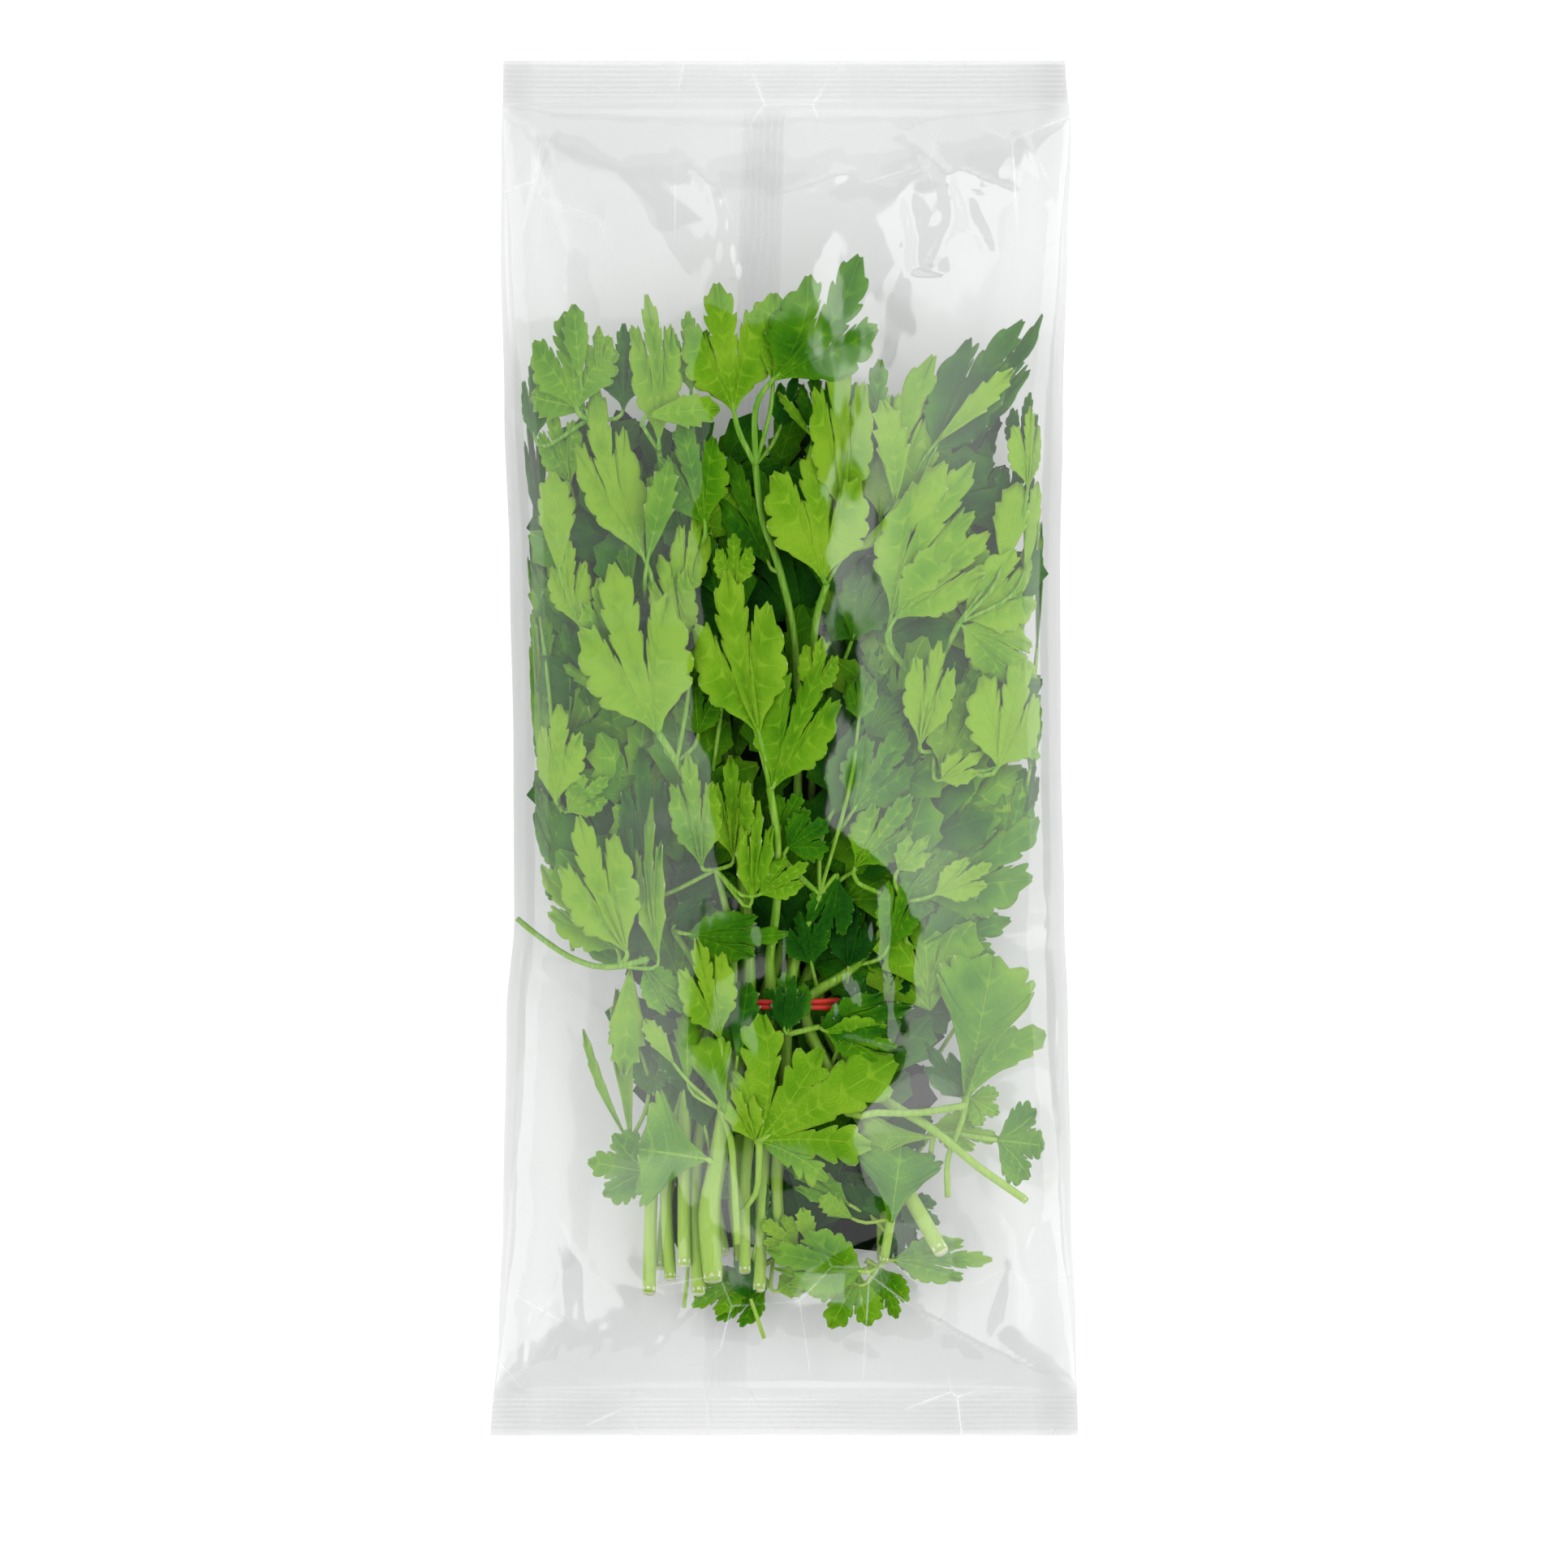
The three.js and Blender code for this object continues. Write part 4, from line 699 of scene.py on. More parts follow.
def lobe_grid(lobe, rng, teeth, tooth, plain_rows, across):
    """A lobe on the unit leaflet, from margin to margin: points, vein values, tip marks, and how
    far each column is out from the midrib."""
    turn, length, left, right = lobe
    turn = math.radians(turn * rng.uniform(0.92, 1.08))
    length *= rng.uniform(0.93, 1.04)
    tip = length * toward(turn)
    knee = 0.5 * length * toward(turn * 0.72)
    ahead = tip / length
    aside = np.array([-ahead[1], ahead[0]])
    halves, ribs = [], []
    for hand, margin in ((1, left), (-1, right)):
        at, out, depth, number, mark = lobe_rows(margin, rng.uniform(-0.03, 0.03), teeth, tooth,
                                                 plain_rows)
        out = out * rng.uniform(0.97, 1.09)
        rib = np.maximum.accumulate(np.clip(at - 0.85 * out, 0, 1))
        rib[0], rib[-1] = 0, 0.985
        edge = length * (at[:, None] * ahead + hand * out[:, None] * aside)
        halves.append((edge, depth, number, mark))
        ribs.append(rib)
    rib = (ribs[0] + ribs[1]) / 2
    middle = (2 * (rib * (1 - rib))[:, None] * knee + (rib**2)[:, None] * tip)
    columns, veins, marks = [], [], []
    steps = np.linspace(0, 1, across + 1) ** 0.85
    for edge, depth, number, mark in halves:
        reach = np.linalg.norm(edge - middle, axis=1)
        notch = depth * TOOTH_DEPTH * rng.uniform(0.8, 1.2, len(depth)) / np.maximum(reach, 0.02)
        end = edge - (edge - middle) * np.minimum(0.5, notch)[:, None]
        columns.append([middle + (end - middle) * t - (ahead * 0.05 * math.sin(math.pi * t))
                        * reach[:, None] for t in steps])
        veins.append([np.stack([number, reach * t, np.full(len(number), t)], axis=-1)
                      for t in steps])
        marks.append(mark)
    grid = np.stack(columns[0][:0:-1] + columns[1], axis=1)
    vein = np.stack(veins[0][:0:-1] + veins[1], axis=1)
    pale = np.zeros(grid.shape[:2])
    pale[:, 0], pale[:, -1] = marks
    return grid, vein, pale, np.concatenate([-steps[:0:-1], steps])


def add_lobe(pieces, grid, vein, pale, freshness_and_shade):
    """A lobe's grid of points as a closed thin sheet."""
    normal = np.cross(np.gradient(grid, axis=0), np.gradient(grid, axis=1))
    normal /= np.maximum(np.linalg.norm(normal, axis=-1, keepdims=True), 1e-9)
    if normal[..., 2].sum() < 0:
        grid, normal, vein, pale = (rows[:, ::-1] for rows in (grid, -normal, vein, pale))
    half = normal * LEAF_THICKNESS / 2
    points = np.concatenate([(grid + half).reshape(-1, 3), (grid - half).reshape(-1, 3)])
    pieces.add(points, sheet_faces(*grid.shape[:2]), 0, freshness_and_shade, np.tile(pale.ravel(), 2),
               np.tile(vein.reshape(-1, 3), (2, 1)))


def leaflet(pieces, leaf, rng):
    """Add a leaflet, curled and waved, between the films; gives points along its midrib."""
    base_x, base_y, tip_x, tip_y, width, layer, form, bend, _, freshness_and_shade = leaf
    fine = width >= FINE_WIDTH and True
    length = math.hypot(tip_x - base_x, tip_y - base_y)
    ahead = ((tip_x - base_x) / length, (tip_y - base_y) / length)
    teeth = {"wedge": 4, "blade": 3}.get(form, 3 if width > 11 else 2)
    lobes = [lobe_grid(lobe, rng, teeth, FINE_TOOTH if fine else PLAIN_TOOTH,
                       6 if fine else 3, 4 if fine else 2) for lobe in LOBES[form]]
    breadth = max(abs(grid[..., 1]).max() for grid, *_ in lobes)
    size = min(1.0, length / 30)
    roll, fold = rng.uniform(-2.2, 2.2), rng.uniform(-1.6, 2.2)
    curl, sag = rng.uniform(-2.6, 1.2), rng.uniform(-1.0, 1.2)
    wave, phase = rng.uniform(0.3, 1.0), rng.uniform(0, 6.28)
    shade = rng.uniform(-0.12, 0.1)
    for below, (grid, vein, pale, out) in zip(reversed(range(len(lobes))), lobes):
        share, across = grid[..., 0], grid[..., 1] / breadth / 2
        side = across * width + bend * length * np.sin(np.pi * share)
        y = base_y + ahead[1] * share * length + ahead[0] * side
        x = inside_fold(base_x + ahead[0] * share * length - ahead[1] * side, y)
        pitch = rng.uniform(-1.5, 1.1) if below else 0.0
        cup = rng.uniform(-1.2, 0.5)
        quilt = 0.13 * np.cos(2 * np.pi * vein[..., 0]) * smooth(vein[..., 2] / 0.3)
        groove = -0.25 * np.exp(-((out / 0.16) ** 2))[None, :]
        z = ((quilt + groove) * smooth(share / 0.3)
             + roll * across * 2 * share + fold * np.abs(across) * 2
             + curl * np.maximum(0, share - 0.45) ** 2 * 3 + sag * np.sin(np.pi * share)
             + pitch * np.maximum(0, share - 0.35) * 1.6
             + cup * vein[..., 2] ** 2 * smooth((share - 0.2) / 0.5)
             + wave * np.sin(phase + 7 * share + 3 * across) * vein[..., 2])
        z = layer_z(layer, x, y) + z * size * 1.25 - 0.1 * below
        z = np.minimum(z, film_over(x, y) - UNDER_FILM)
        z = np.maximum(z, back_z(bag_share(x, y), y) + OVER_BACK)
        surface = np.stack([x, y, z], axis=-1)
        add_lobe(pieces, surface, vein * (1, length, 1), pale, np.clip(freshness_and_shade + shade, 0, 1))
    spine = surface[:, surface.shape[1] // 2]
    step = np.concatenate([[0], np.cumsum(np.linalg.norm(np.diff(spine, axis=0), axis=1))])
    even = np.linspace(0, step[-1], MIDRIB_POINTS)
    return np.stack([np.interp(even, step, spine[:, axis]) for axis in range(3)], axis=-1)


# ---------------------------------------------------------------------------------------------
# Trees of nodes, for forms and for finishes
# ---------------------------------------------------------------------------------------------
class Graph:
    """A tree of nodes being built."""

    def __init__(self, tree):
        self.tree = tree

    def node(self, kind, links=None, values=None, **settings):
        made = self.tree.nodes.new(kind)
        for key, value in settings.items():
            setattr(made, key, value)
        for key, value in (values or {}).items():
            made.inputs[key].default_value = value
        for key, source in (links or {}).items():
            self.tree.links.new(source, made.inputs[key])
        return made

    def fill(self, sockets, values):
        """Link each socket to its value, or set the value on it."""
        for socket, value in zip(sockets, values):
            if isinstance(value, (int, float)):
                socket.default_value = value
            elif isinstance(value, tuple):
                socket.default_value = (*value, 1)
            else:
                self.tree.links.new(value, socket)

    def math(self, operation, *terms):
        made = self.node("ShaderNodeMath", operation=operation)
        self.fill(made.inputs, terms)
        return made.outputs[0]


class Form(Graph):
    """A Geometry Nodes tree with named inputs: (name, kind, value)."""

    def __init__(self, name, *inputs):
        super().__init__(bpy.data.node_groups.new(name, "GeometryNodeTree"))
        sockets = self.tree.interface
        for label, kind, value in (*inputs, ("Surface", "Material", None)):
            socket = sockets.new_socket(label, in_out="INPUT", socket_type="NodeSocket" + kind)
            if value is not None:
                socket.default_value = value
        sockets.new_socket("Mesh", in_out="OUTPUT", socket_type="NodeSocketGeometry")
        self.given = self.node("NodeGroupInput").outputs

    def finish(self, shape):
        real = self.node("GeometryNodeRealizeInstances", {0: shape})
        paint = self.node("GeometryNodeSetMaterial", {"Geometry": real.outputs[0],
                                                      "Material": self.given["Surface"]})
        self.node("NodeGroupOutput", {0: paint.outputs[0]})
        return self.tree


def round_along_path():
    """A ribbed round section drawn along each path, as thick as the path's own radius."""
    f = Form("Round_along_path", ("Paths", "Geometry", None), ("Sides", "Int", 12),
             ("Ribs", "Float", 6.0), ("Rib depth", "Float", 0.06))
    place = f.node("GeometryNodeInputPosition").outputs[0]
    parts = f.node("ShaderNodeSeparateXYZ", {0: place}).outputs
    angle = f.math("ARCTAN2", parts["Y"], parts["X"])
    ridge = f.math("COSINE", f.math("MULTIPLY", angle, f.given["Ribs"]))
    grow = f.math("MULTIPLY_ADD", ridge, f.given["Rib depth"], 1.0)
    swell = f.node("ShaderNodeVectorMath", {0: place, "Scale": grow}, operation="SCALE")
    circle = f.node("GeometryNodeCurvePrimitiveCircle", {"Resolution": f.given["Sides"]},
                    {"Radius": 1.0}, mode="RADIUS")
    section = f.node("GeometryNodeSetPosition", {"Geometry": circle.outputs["Curve"],
                                                 "Position": swell.outputs[0]})
    sweep = f.node("GeometryNodeCurveToMesh", {
        "Curve": f.given["Paths"], "Profile Curve": section.outputs["Geometry"],
        "Scale": f.node("GeometryNodeInputRadius").outputs[0]}, {"Fill Caps": True})
    return f.finish(f.node("GeometryNodeSetShadeSmooth",
                           {"Geometry": sweep.outputs["Mesh"]}).outputs["Geometry"])


def scattered_leaves():
    """A leaflet on each place, turned as the place's own value says."""
    f = Form("Scattered_leaves", ("Places", "Geometry", None), ("Leaflets", "Collection", None),
             ("Size", "Float", 1.0), ("Seed", "Int", 4))
    shapes = f.node("GeometryNodeCollectionInfo", {"Collection": f.given["Leaflets"]},
                    {"Separate Children": True})
    turn = f.node("GeometryNodeInputNamedAttribute", values={"Name": "turn"},
                  data_type="FLOAT_VECTOR")
    lowest, highest = 4, 5  # the random value's sockets for whole numbers
    choice = f.node("FunctionNodeRandomValue", {"Seed": f.given["Seed"]},
                    {lowest: 0, highest: 2}, data_type="INT")
    place = f.node("GeometryNodeInstanceOnPoints", {
        "Points": f.given["Places"], "Instance": shapes.outputs[0],
        "Instance Index": choice.outputs[2], "Rotation": turn.outputs[0],
        "Scale": f.given["Size"]}, {"Pick Instance": True})
    return f.finish(place.outputs[0])


AROUND = round_along_path()
SCATTER = scattered_leaves()


def set_inputs(modifier, **values):
    for item in modifier.node_group.interface.items_tree:
        key = item.name.replace(" ", "_")
        if item.item_type == "SOCKET" and item.in_out == "INPUT" and key in values:
            modifier[item.identifier] = values[key]


def grown(name, data, tree, **values):
    """What a tree makes of the data, as a plain mesh piece."""
    source = placed(name, data)
    modifier = source.modifiers.new(name, "NODES")
    modifier.node_group = tree
    set_inputs(modifier, **values)
    bpy.context.view_layer.update()
    evaluated = source.evaluated_get(bpy.context.evaluated_depsgraph_get())
    made = bpy.data.meshes.new_from_object(evaluated)
    discard(source)
    made.name = name
    return placed(name, made)


def swept(name, paths, surface, sides, ribs=6.0, depth=0.06, closed=False):
    """Round stalks or loops. paths: lists of (x, y, z, radius) in millimetres."""
    data = bpy.data.curves.new(name, "CURVE")
    data.dimensions = "3D"
    for path in paths:
        spline = data.splines.new("POLY")
        spline.points.add(len(path) - 1)
        spline.use_cyclic_u = closed
        for point, (x, y, z, radius) in zip(spline.points, path):
            point.co = (x * MM, y * MM, z * MM, 1)
            point.radius = radius * MM
    return grown(name, data, AROUND, Sides=sides, Ribs=ribs, Rib_depth=depth, Surface=surface)


def eased(rows, step):
    """A smooth path through rows of (x, y, z, radius)."""
    rows = np.asarray(rows, dtype=float)
    if len(rows) == 2:
        rows = np.array([rows[0], rows.mean(axis=0), rows[1]])
    before = np.vstack([2 * rows[0] - rows[1], rows, 2 * rows[-1] - rows[-2]])
    path = []
    for i in range(1, len(before) - 2):
        a, b, c, d = before[i - 1:i + 3]
        parts = max(2, int(round(np.linalg.norm(c[:3] - b[:3]) / step)))
        for t in np.arange(parts) / parts:
            path.append(0.5 * (2 * b + (c - a) * t + (2 * a - 5 * b + 4 * c - d) * t**2
                               + (3 * b - a - 3 * c + d) * t**3))
    path.append(rows[-1])
    return np.array(path)


# ---------------------------------------------------------------------------------------------
# Finishes
# ---------------------------------------------------------------------------------------------
class Finish(Graph):
    """A material being built."""

    def __init__(self, name):
        self.material = bpy.data.materials.new(name)
        self.material.use_nodes = True
        super().__init__(self.material.node_tree)
        self.tree.nodes.clear()
        self.out = self.node("ShaderNodeOutputMaterial")

    def place(self):
        return self.node("ShaderNodeTexCoord").outputs["Object"]

    def value(self, name, output="Fac"):
        return self.node("ShaderNodeAttribute", attribute_name=name).outputs[output]

    def parts(self, vector):
        return self.node("ShaderNodeSeparateXYZ", {0: vector}).outputs

    def noise(self, scale, detail=3.0, stretch=(1, 1, 1), roughness=0.5):
        spread = self.node("ShaderNodeMapping", {"Vector": self.place()}, {"Scale": stretch})
        return self.node("ShaderNodeTexNoise", {"Vector": spread.outputs[0]},
                         {"Scale": scale, "Detail": detail, "Distortion": 0.0,
                          "Roughness": roughness}).outputs["Fac"]

    def blend(self, share, a, b):
        made = self.node("ShaderNodeMix", data_type="RGBA")
        self.fill((made.inputs[0], made.inputs[6], made.inputs[7]), (share, a, b))
        return made.outputs[2]

    def ramp(self, share, stops):
        made = self.node("ShaderNodeValToRGB", {0: share})
        while len(made.color_ramp.elements) < len(stops):
            made.color_ramp.elements.new(0.5)
        for element, (place, colour) in zip(made.color_ramp.elements, stops):
            element.position = place
            element.color = (*colour, 1)
        return made.outputs[0]

    def between(self, value, low, high, to_low=0.0, to_high=1.0):
        return self.node("ShaderNodeMapRange", {"Value": value},
                         {"From Min": low, "From Max": high, "To Min": to_low,
                          "To Max": to_high}, interpolation_type="SMOOTHSTEP").outputs[0]

    def bump(self, relief, strength, depth):
        return self.node("ShaderNodeBump", {"Height": relief},
                         {"Strength": strength, "Distance": depth}).outputs[0]

    def plain(self, kind, grey, blue=None):
        """A bare shader of one grey, or one a little bluer."""
        colour = (grey, blue or grey, blue or grey, 1)
        return self.node("ShaderNodeBsdf" + kind, values={"Color": colour}).outputs[0]

    def mixed(self, share, a, b):
        return self.node("ShaderNodeMixShader", {0: share, 1: a, 2: b}).outputs[0]

    def surface(self, socket):
        self.tree.links.new(socket, self.out.inputs["Surface"])
        return self.material

    def skin(self, colour, bump, roughness, gloss=0.5):
        return self.surface(self.node(
            "ShaderNodeBsdfPrincipled", {"Base Color": colour, "Normal": bump},
            {"Roughness": roughness, "Specular IOR Level": gloss}).outputs[0])


LEAF_GREENS = (  # from an old leaf's darkest green, with painted shade, to a young leaf's veins
    (0.0, (0.002, 0.042, 0.0015)), (0.28, (0.014, 0.115, 0.002)),
    (0.55, (0.064, 0.240, 0.0015)), (0.8, (0.160, 0.380, 0.009)),
    (1.0, (0.260, 0.485, 0.024)))


def leaf_finish(name, painted_shade=1.0):
    f = Finish(name)
    fresh_and_shade, pale = f.value("freshness_and_shade"), f.value("pale")
    number, out, share = f.parts(f.value("vein", "Vector"))
    broad, fine = f.noise(75, 1.0), f.noise(800, 1.0)
    # The given tone is partly the leaf's age and partly painted shade for leaves deep in the bunch.
    tone = f.math("MULTIPLY_ADD", f.math("SUBTRACT", broad, 0.5), 0.6, fresh_and_shade)
    tone = f.math("MULTIPLY_ADD", f.math("SUBTRACT", fine, 0.5), 0.16, tone)
    # A midrib, a vein to each tooth, and finer ones leaving those in a herringbone.
    off = f.math("ABSOLUTE", f.math("SUBTRACT", f.math("FRACT", number), 0.5))
    rib = f.between(out, 0.1, 0.36, 1, 0)
    side = f.between(f.math("MULTIPLY", off, f.math("MULTIPLY_ADD", out, 0.42, 0.5)),
                     0.03, 0.15, 1, 0)
    main = f.math("MAXIMUM", rib, f.math("MULTIPLY", side, 0.6))
    rung = f.math("FRACT", f.math("MULTIPLY_ADD", off, -2.4, f.math("MULTIPLY", out, 0.8)))
    small = f.between(f.math("ABSOLUTE", f.math("SUBTRACT", rung, 0.5)), 0.03, 0.14, 1, 0)
    light = f.math("MULTIPLY", main, f.between(share, 0.0, 1.0, 0.3, 0.1))
    tone = f.math("MULTIPLY_ADD", light, f.between(fresh_and_shade, 0.1, 0.7, 0.3, 1.0), tone)
    # Painted shade along the midrib: the tone is darker near it and lighter towards the margins.
    tone = f.math("ADD", tone, f.between(share, 0.3, 1.0, -0.05, 0.08))
    tone = f.math("MULTIPLY_ADD", small, -0.06, tone)
    # Every green is scaled by the painted shade: 1 for lit leaves, less for leaves painted darker as
    # shade.
    colour = f.ramp(tone, [(place, tuple(painted_shade * part for part in mix))
                           for place, mix in LEAF_GREENS])
    tip = f.math("MULTIPLY", f.math("POWER", pale, 7.0), 0.85)
    colour = f.blend(tip, colour, (0.72, 0.80, 0.55))
    relief = f.math("MULTIPLY_ADD", main, -0.7, f.math("MULTIPLY", small, -0.35))
    relief = f.math("MULTIPLY_ADD", fine, 0.45, relief)
    return f.skin(colour, f.bump(relief, 0.7, 0.0003), 0.48, 0.045)


def stem_finish():
    """Green, paler towards the cut ends, with streaks along the bunch and spots."""
    f = Finish("Stem_skin")
    down = f.parts(f.place())["Y"]
    colour = f.blend(f.between(down, -0.155, -0.05, 1, 0), (0.15, 0.38, 0.008),
                     (0.36, 0.57, 0.075))
    colour = f.blend(f.between(down, -0.03, 0.09, 0, 1), colour, (0.11, 0.34, 0.012))
    streak = f.noise(26, 4.0, (40, 1.4, 40))
    spots = f.noise(500, 3.0)
    colour = f.blend(f.between(streak, 0.35, 0.7, 0, 0.5), colour, (0.44, 0.64, 0.12))
    colour = f.blend(f.between(spots, 0.55, 0.75, 0, 0.18), colour, (0.06, 0.24, 0.01))
    relief = f.math("MULTIPLY_ADD", spots, 0.2, streak)
    return f.skin(colour, f.bump(relief, 0.6, 0.0004), 0.4, 0.22)


def cut_finish():
    f = Finish("Cut_stem")
    fibre = f.noise(2200, 3.0)
    colour = f.ramp(fibre, [(0.3, (0.42, 0.52, 0.20)), (0.5, (0.72, 0.78, 0.48)),
                            (0.7, (0.88, 0.90, 0.70))])
    return f.skin(colour, f.bump(fibre, 0.8, 0.0003), 0.6)


def rubber_finish():
    f = Finish("Red_rubber")
    worn = f.noise(350, 4.0)
    colour = f.blend(f.between(worn, 0.4, 0.75), (0.66, 0.012, 0.006), (0.50, 0.03, 0.02))
    return f.skin(colour, f.bump(worn, 0.35, 0.0003), 0.5)


SEAL_BARS = 0.00145
WELD_LINES = 0.0019
WELD_LEAN = -0.0315


def film_finish():
    """Clear glossy film: mostly seen through, with crimped bars across the end seals."""
    f = Finish("Clear_film")
    place = f.place()
    x, y, _ = f.parts(place)
    across, along = f.math("ABSOLUTE", x), f.math("ABSOLUTE", y)
    seal = f.between(along, 0.1822, 0.1832)
    bars = f.math("SINE", f.math("MULTIPLY", y, 2 * math.pi / SEAL_BARS))
    bars = f.math("MULTIPLY", bars, seal)
    creases = f.noise(56, 2.0, (1.5, 0.8, 1), 0.6)
    bump = f.bump(f.math("MULTIPLY_ADD", bars, 0.28, creases), 0.22, 0.0007)
    facing = f.node("ShaderNodeLayerWeight", {"Normal": bump}, {"Blend": 0.5})
    smudge = f.between(f.noise(22, 1.0, (1, 0.5, 1)), 0.3, 0.7, 0.045, 0.082)
    shine = f.math("MULTIPLY_ADD", f.math("POWER", facing.outputs["Facing"], 4.0), 0.16, smudge)
    # The film's see-through colour is painted greyer near the side folds and towards the end seals:
    # painted shade.
    ends = f.math("MULTIPLY", f.between(along, 0.118, 0.150, 0, 0.45),
                  f.between(across, 0.015, 0.05, 0.3, 1))
    shaded_tint = f.blend(f.math("MAXIMUM", f.between(across, 0.064, 0.077), ends),
                   (0.827, 0.83, 0.83), (0.778, 0.781, 0.781))
    through = f.node("ShaderNodeBsdfTransparent", {"Color": shaded_tint}).outputs[0]
    gloss = f.node("ShaderNodeBsdfAnisotropic", {"Normal": bump},
                   {"Color": (1, 1, 1, 1), "Roughness": 0.07}).outputs[0]
    # A white haze lies on the end seals, in patches and bars.
    patches = f.between(f.noise(30, 1.0, (1, 0.6, 1)), 0.35, 0.62)
    haze_and_glints = f.math("MULTIPLY", f.math("MULTIPLY_ADD", bars, 0.045, 0.055), patches)
    haze_and_glints = f.math("MULTIPLY", f.math("ADD", haze_and_glints, 0.02), seal)
    # Folds pressed into the loose ends show white, straight and broken off: partly film whitened
    # at the folds and partly painted glints on the creases.
    spread = f.node("ShaderNodeMapping", {"Vector": place}, {"Scale": (1, 0.75, 0.4)})
    folds = f.node("ShaderNodeTexVoronoi", {"Vector": spread.outputs[0]},
                   {"Scale": 44, "Randomness": 1}, voronoi_dimensions="2D",
                   feature="DISTANCE_TO_EDGE").outputs["Distance"]
    folds = f.math("MULTIPLY", f.between(folds, 0.002, 0.017, 0.24, 0),
                   f.between(f.noise(26, 1.0), 0.46, 0.6))
    haze_and_glints = f.math("MULTIPLY_ADD", folds, f.between(along, 0.135, 0.160, 0, 1), haze_and_glints)
    skin = f.mixed(haze_and_glints, f.mixed(shine, through, gloss), f.plain("Diffuse", 0.88))
    # Light from the lamps passes as through flat film.
    from_lamp = f.node("ShaderNodeLightPath").outputs["Is Shadow Ray"]
    return f.surface(f.mixed(from_lamp, skin, f.plain("Transparent", 0.88, 0.883)))


def weld_finish():
    """The welded lengthwise seal: clear, with fine pale lines along it."""
    f = Finish("Welded_film")
    x, y, _ = f.parts(f.place())
    lean = f.math("MULTIPLY_ADD", y, WELD_LEAN, x)
    lines = f.math("SINE", f.math("MULTIPLY", lean, 2 * math.pi / WELD_LINES))
    worn = f.noise(30, 3.0, (1, 0.3, 1))
    pale = f.math("MULTIPLY", f.between(lines, 0.1, 0.9, 0.0, 0.12), f.between(worn, 0.35, 0.7))
    return f.surface(f.mixed(pale, f.plain("Transparent", 0.997), f.plain("Diffuse", 0.95)))


def floor_finish():
    """A pale sheet, lit a little from below."""
    f = Finish("Pale_floor")
    skin = f.node("ShaderNodeBsdfPrincipled", values={
        "Base Color": (0.91, 0.91, 0.91, 1), "Roughness": 0.8, "Specular IOR Level": 0.0,
        "Emission Color": (1, 1, 1, 1), "Emission Strength": 0.28})
    return f.surface(skin.outputs[0])


LEAF = leaf_finish("Leaf_skin")
# The deepest leaves' finish: the leaf greens painted five times darker, as painted shade.
SHADED_UNDER_LEAF = leaf_finish("Under_leaf_skin", 0.2)
STEM = stem_finish()
CUT = cut_finish()
RUBBER = rubber_finish()
CLEAR = film_finish()
WELD = weld_finish()

# ---------------------------------------------------------------------------------------------
# The leafy stems
# ---------------------------------------------------------------------------------------------
STALK_STEP = 2.5
STEM_STEP = 3.5
LEAST_CUT = 1.0


def cut_plug(pieces, end, along, radius):
    """The slanted cut across the foot of a stem, facing a little upwards."""
    along = along / np.linalg.norm(along)
    up = np.array([0, 0, 1.0]) - along * along[2]
    up /= np.linalg.norm(up)
    side = np.cross(along, up)
    ring = np.linspace(0, 2 * np.pi, 16, endpoint=False)
    around = np.cos(ring)[:, None] * up + np.sin(ring)[:, None] * side
    back = end - along * radius + around * radius * 0.97
    lean = (0.15 - 0.75 * np.cos(ring))[:, None] * radius
    face = end + around * radius * 0.99 + along * lean
    middle = end + along * radius * 0.15
    points = np.vstack([back, face, middle, end - along * radius])
    n = len(ring)
    faces = []
    for i in range(n):
        j = (i + 1) % n
        faces += [(i, j, n + j, n + i), (n + i, n + j, 2 * n), (j, i, 2 * n + 1)]
    if np.dot(np.cross(points[1] - points[0], points[n + 1] - points[0]), around[0]) < 0:
        faces = [face[::-1] for face in faces]
    pieces.add(points, faces, 2)


def add_stalks(pieces, name, stalks):
    """Sweep the stalks and add them in the stem's finish."""
    tube = swept(name, [row.tolist() for row in stalks], STEM, 12)
    points = np.empty(len(tube.data.vertices) * 3)
    tube.data.vertices.foreach_get("co", points)
    pieces.add(points.reshape(-1, 3) / MM, [tuple(p.vertices) for p in tube.data.polygons], 1)
    discard(tube)


def stalk_start(midrib, thick):
    """A leaf stalk's first rows, under its leaflet's midrib."""
    base, inner = midrib[0], midrib[2]
    return [(*(base * 0.3 + inner * 0.7 - (0, 0, 0.25)), 0.14), (*(base - (0, 0, 0.2)), thick)]


def leafy_stem(name, stem, leaves, rng):
    pieces = Pieces()
    path = np.array([(x, y, layer_height(layer, x, y), radius) for x, y, layer, radius in stem])
    stalks = [eased(path, STEM_STEP)]
    for leaf in leaves:
        midrib = leaflet(pieces, leaf, rng)
        root = path[leaf[8]][:3]
        base, inner = midrib[0], midrib[2]
        gap = np.linalg.norm(root - base)
        thick = 0.42 + 0.012 * leaf[4]
        rows = stalk_start(midrib, thick * 0.8)
        if gap > 3:
            bow = base + (base - inner) / max(1e-6, np.linalg.norm(base - inner)) * gap * 0.4
            rows.append((*(bow * 0.5 + (base + (root - base) * 0.4) * 0.5), thick))
        stalks.append(eased(rows + [(*root, thick)], STALK_STEP))
    add_stalks(pieces, name + "_stalks", stalks)
    foot, last = path[-1], path[-2]
    if foot[3] > LEAST_CUT:
        cut_plug(pieces, foot[:3], foot[:3] - last[:3], foot[3])
    return pieces.mesh(name + "_piece", (LEAF, STEM, CUT))


rng = np.random.default_rng(23)
for name, (stem, leaves) in LEAFY_STEMS.items():
    piece = leafy_stem(name, stem, leaves, rng)
    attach(piece, "root")
    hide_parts(name)


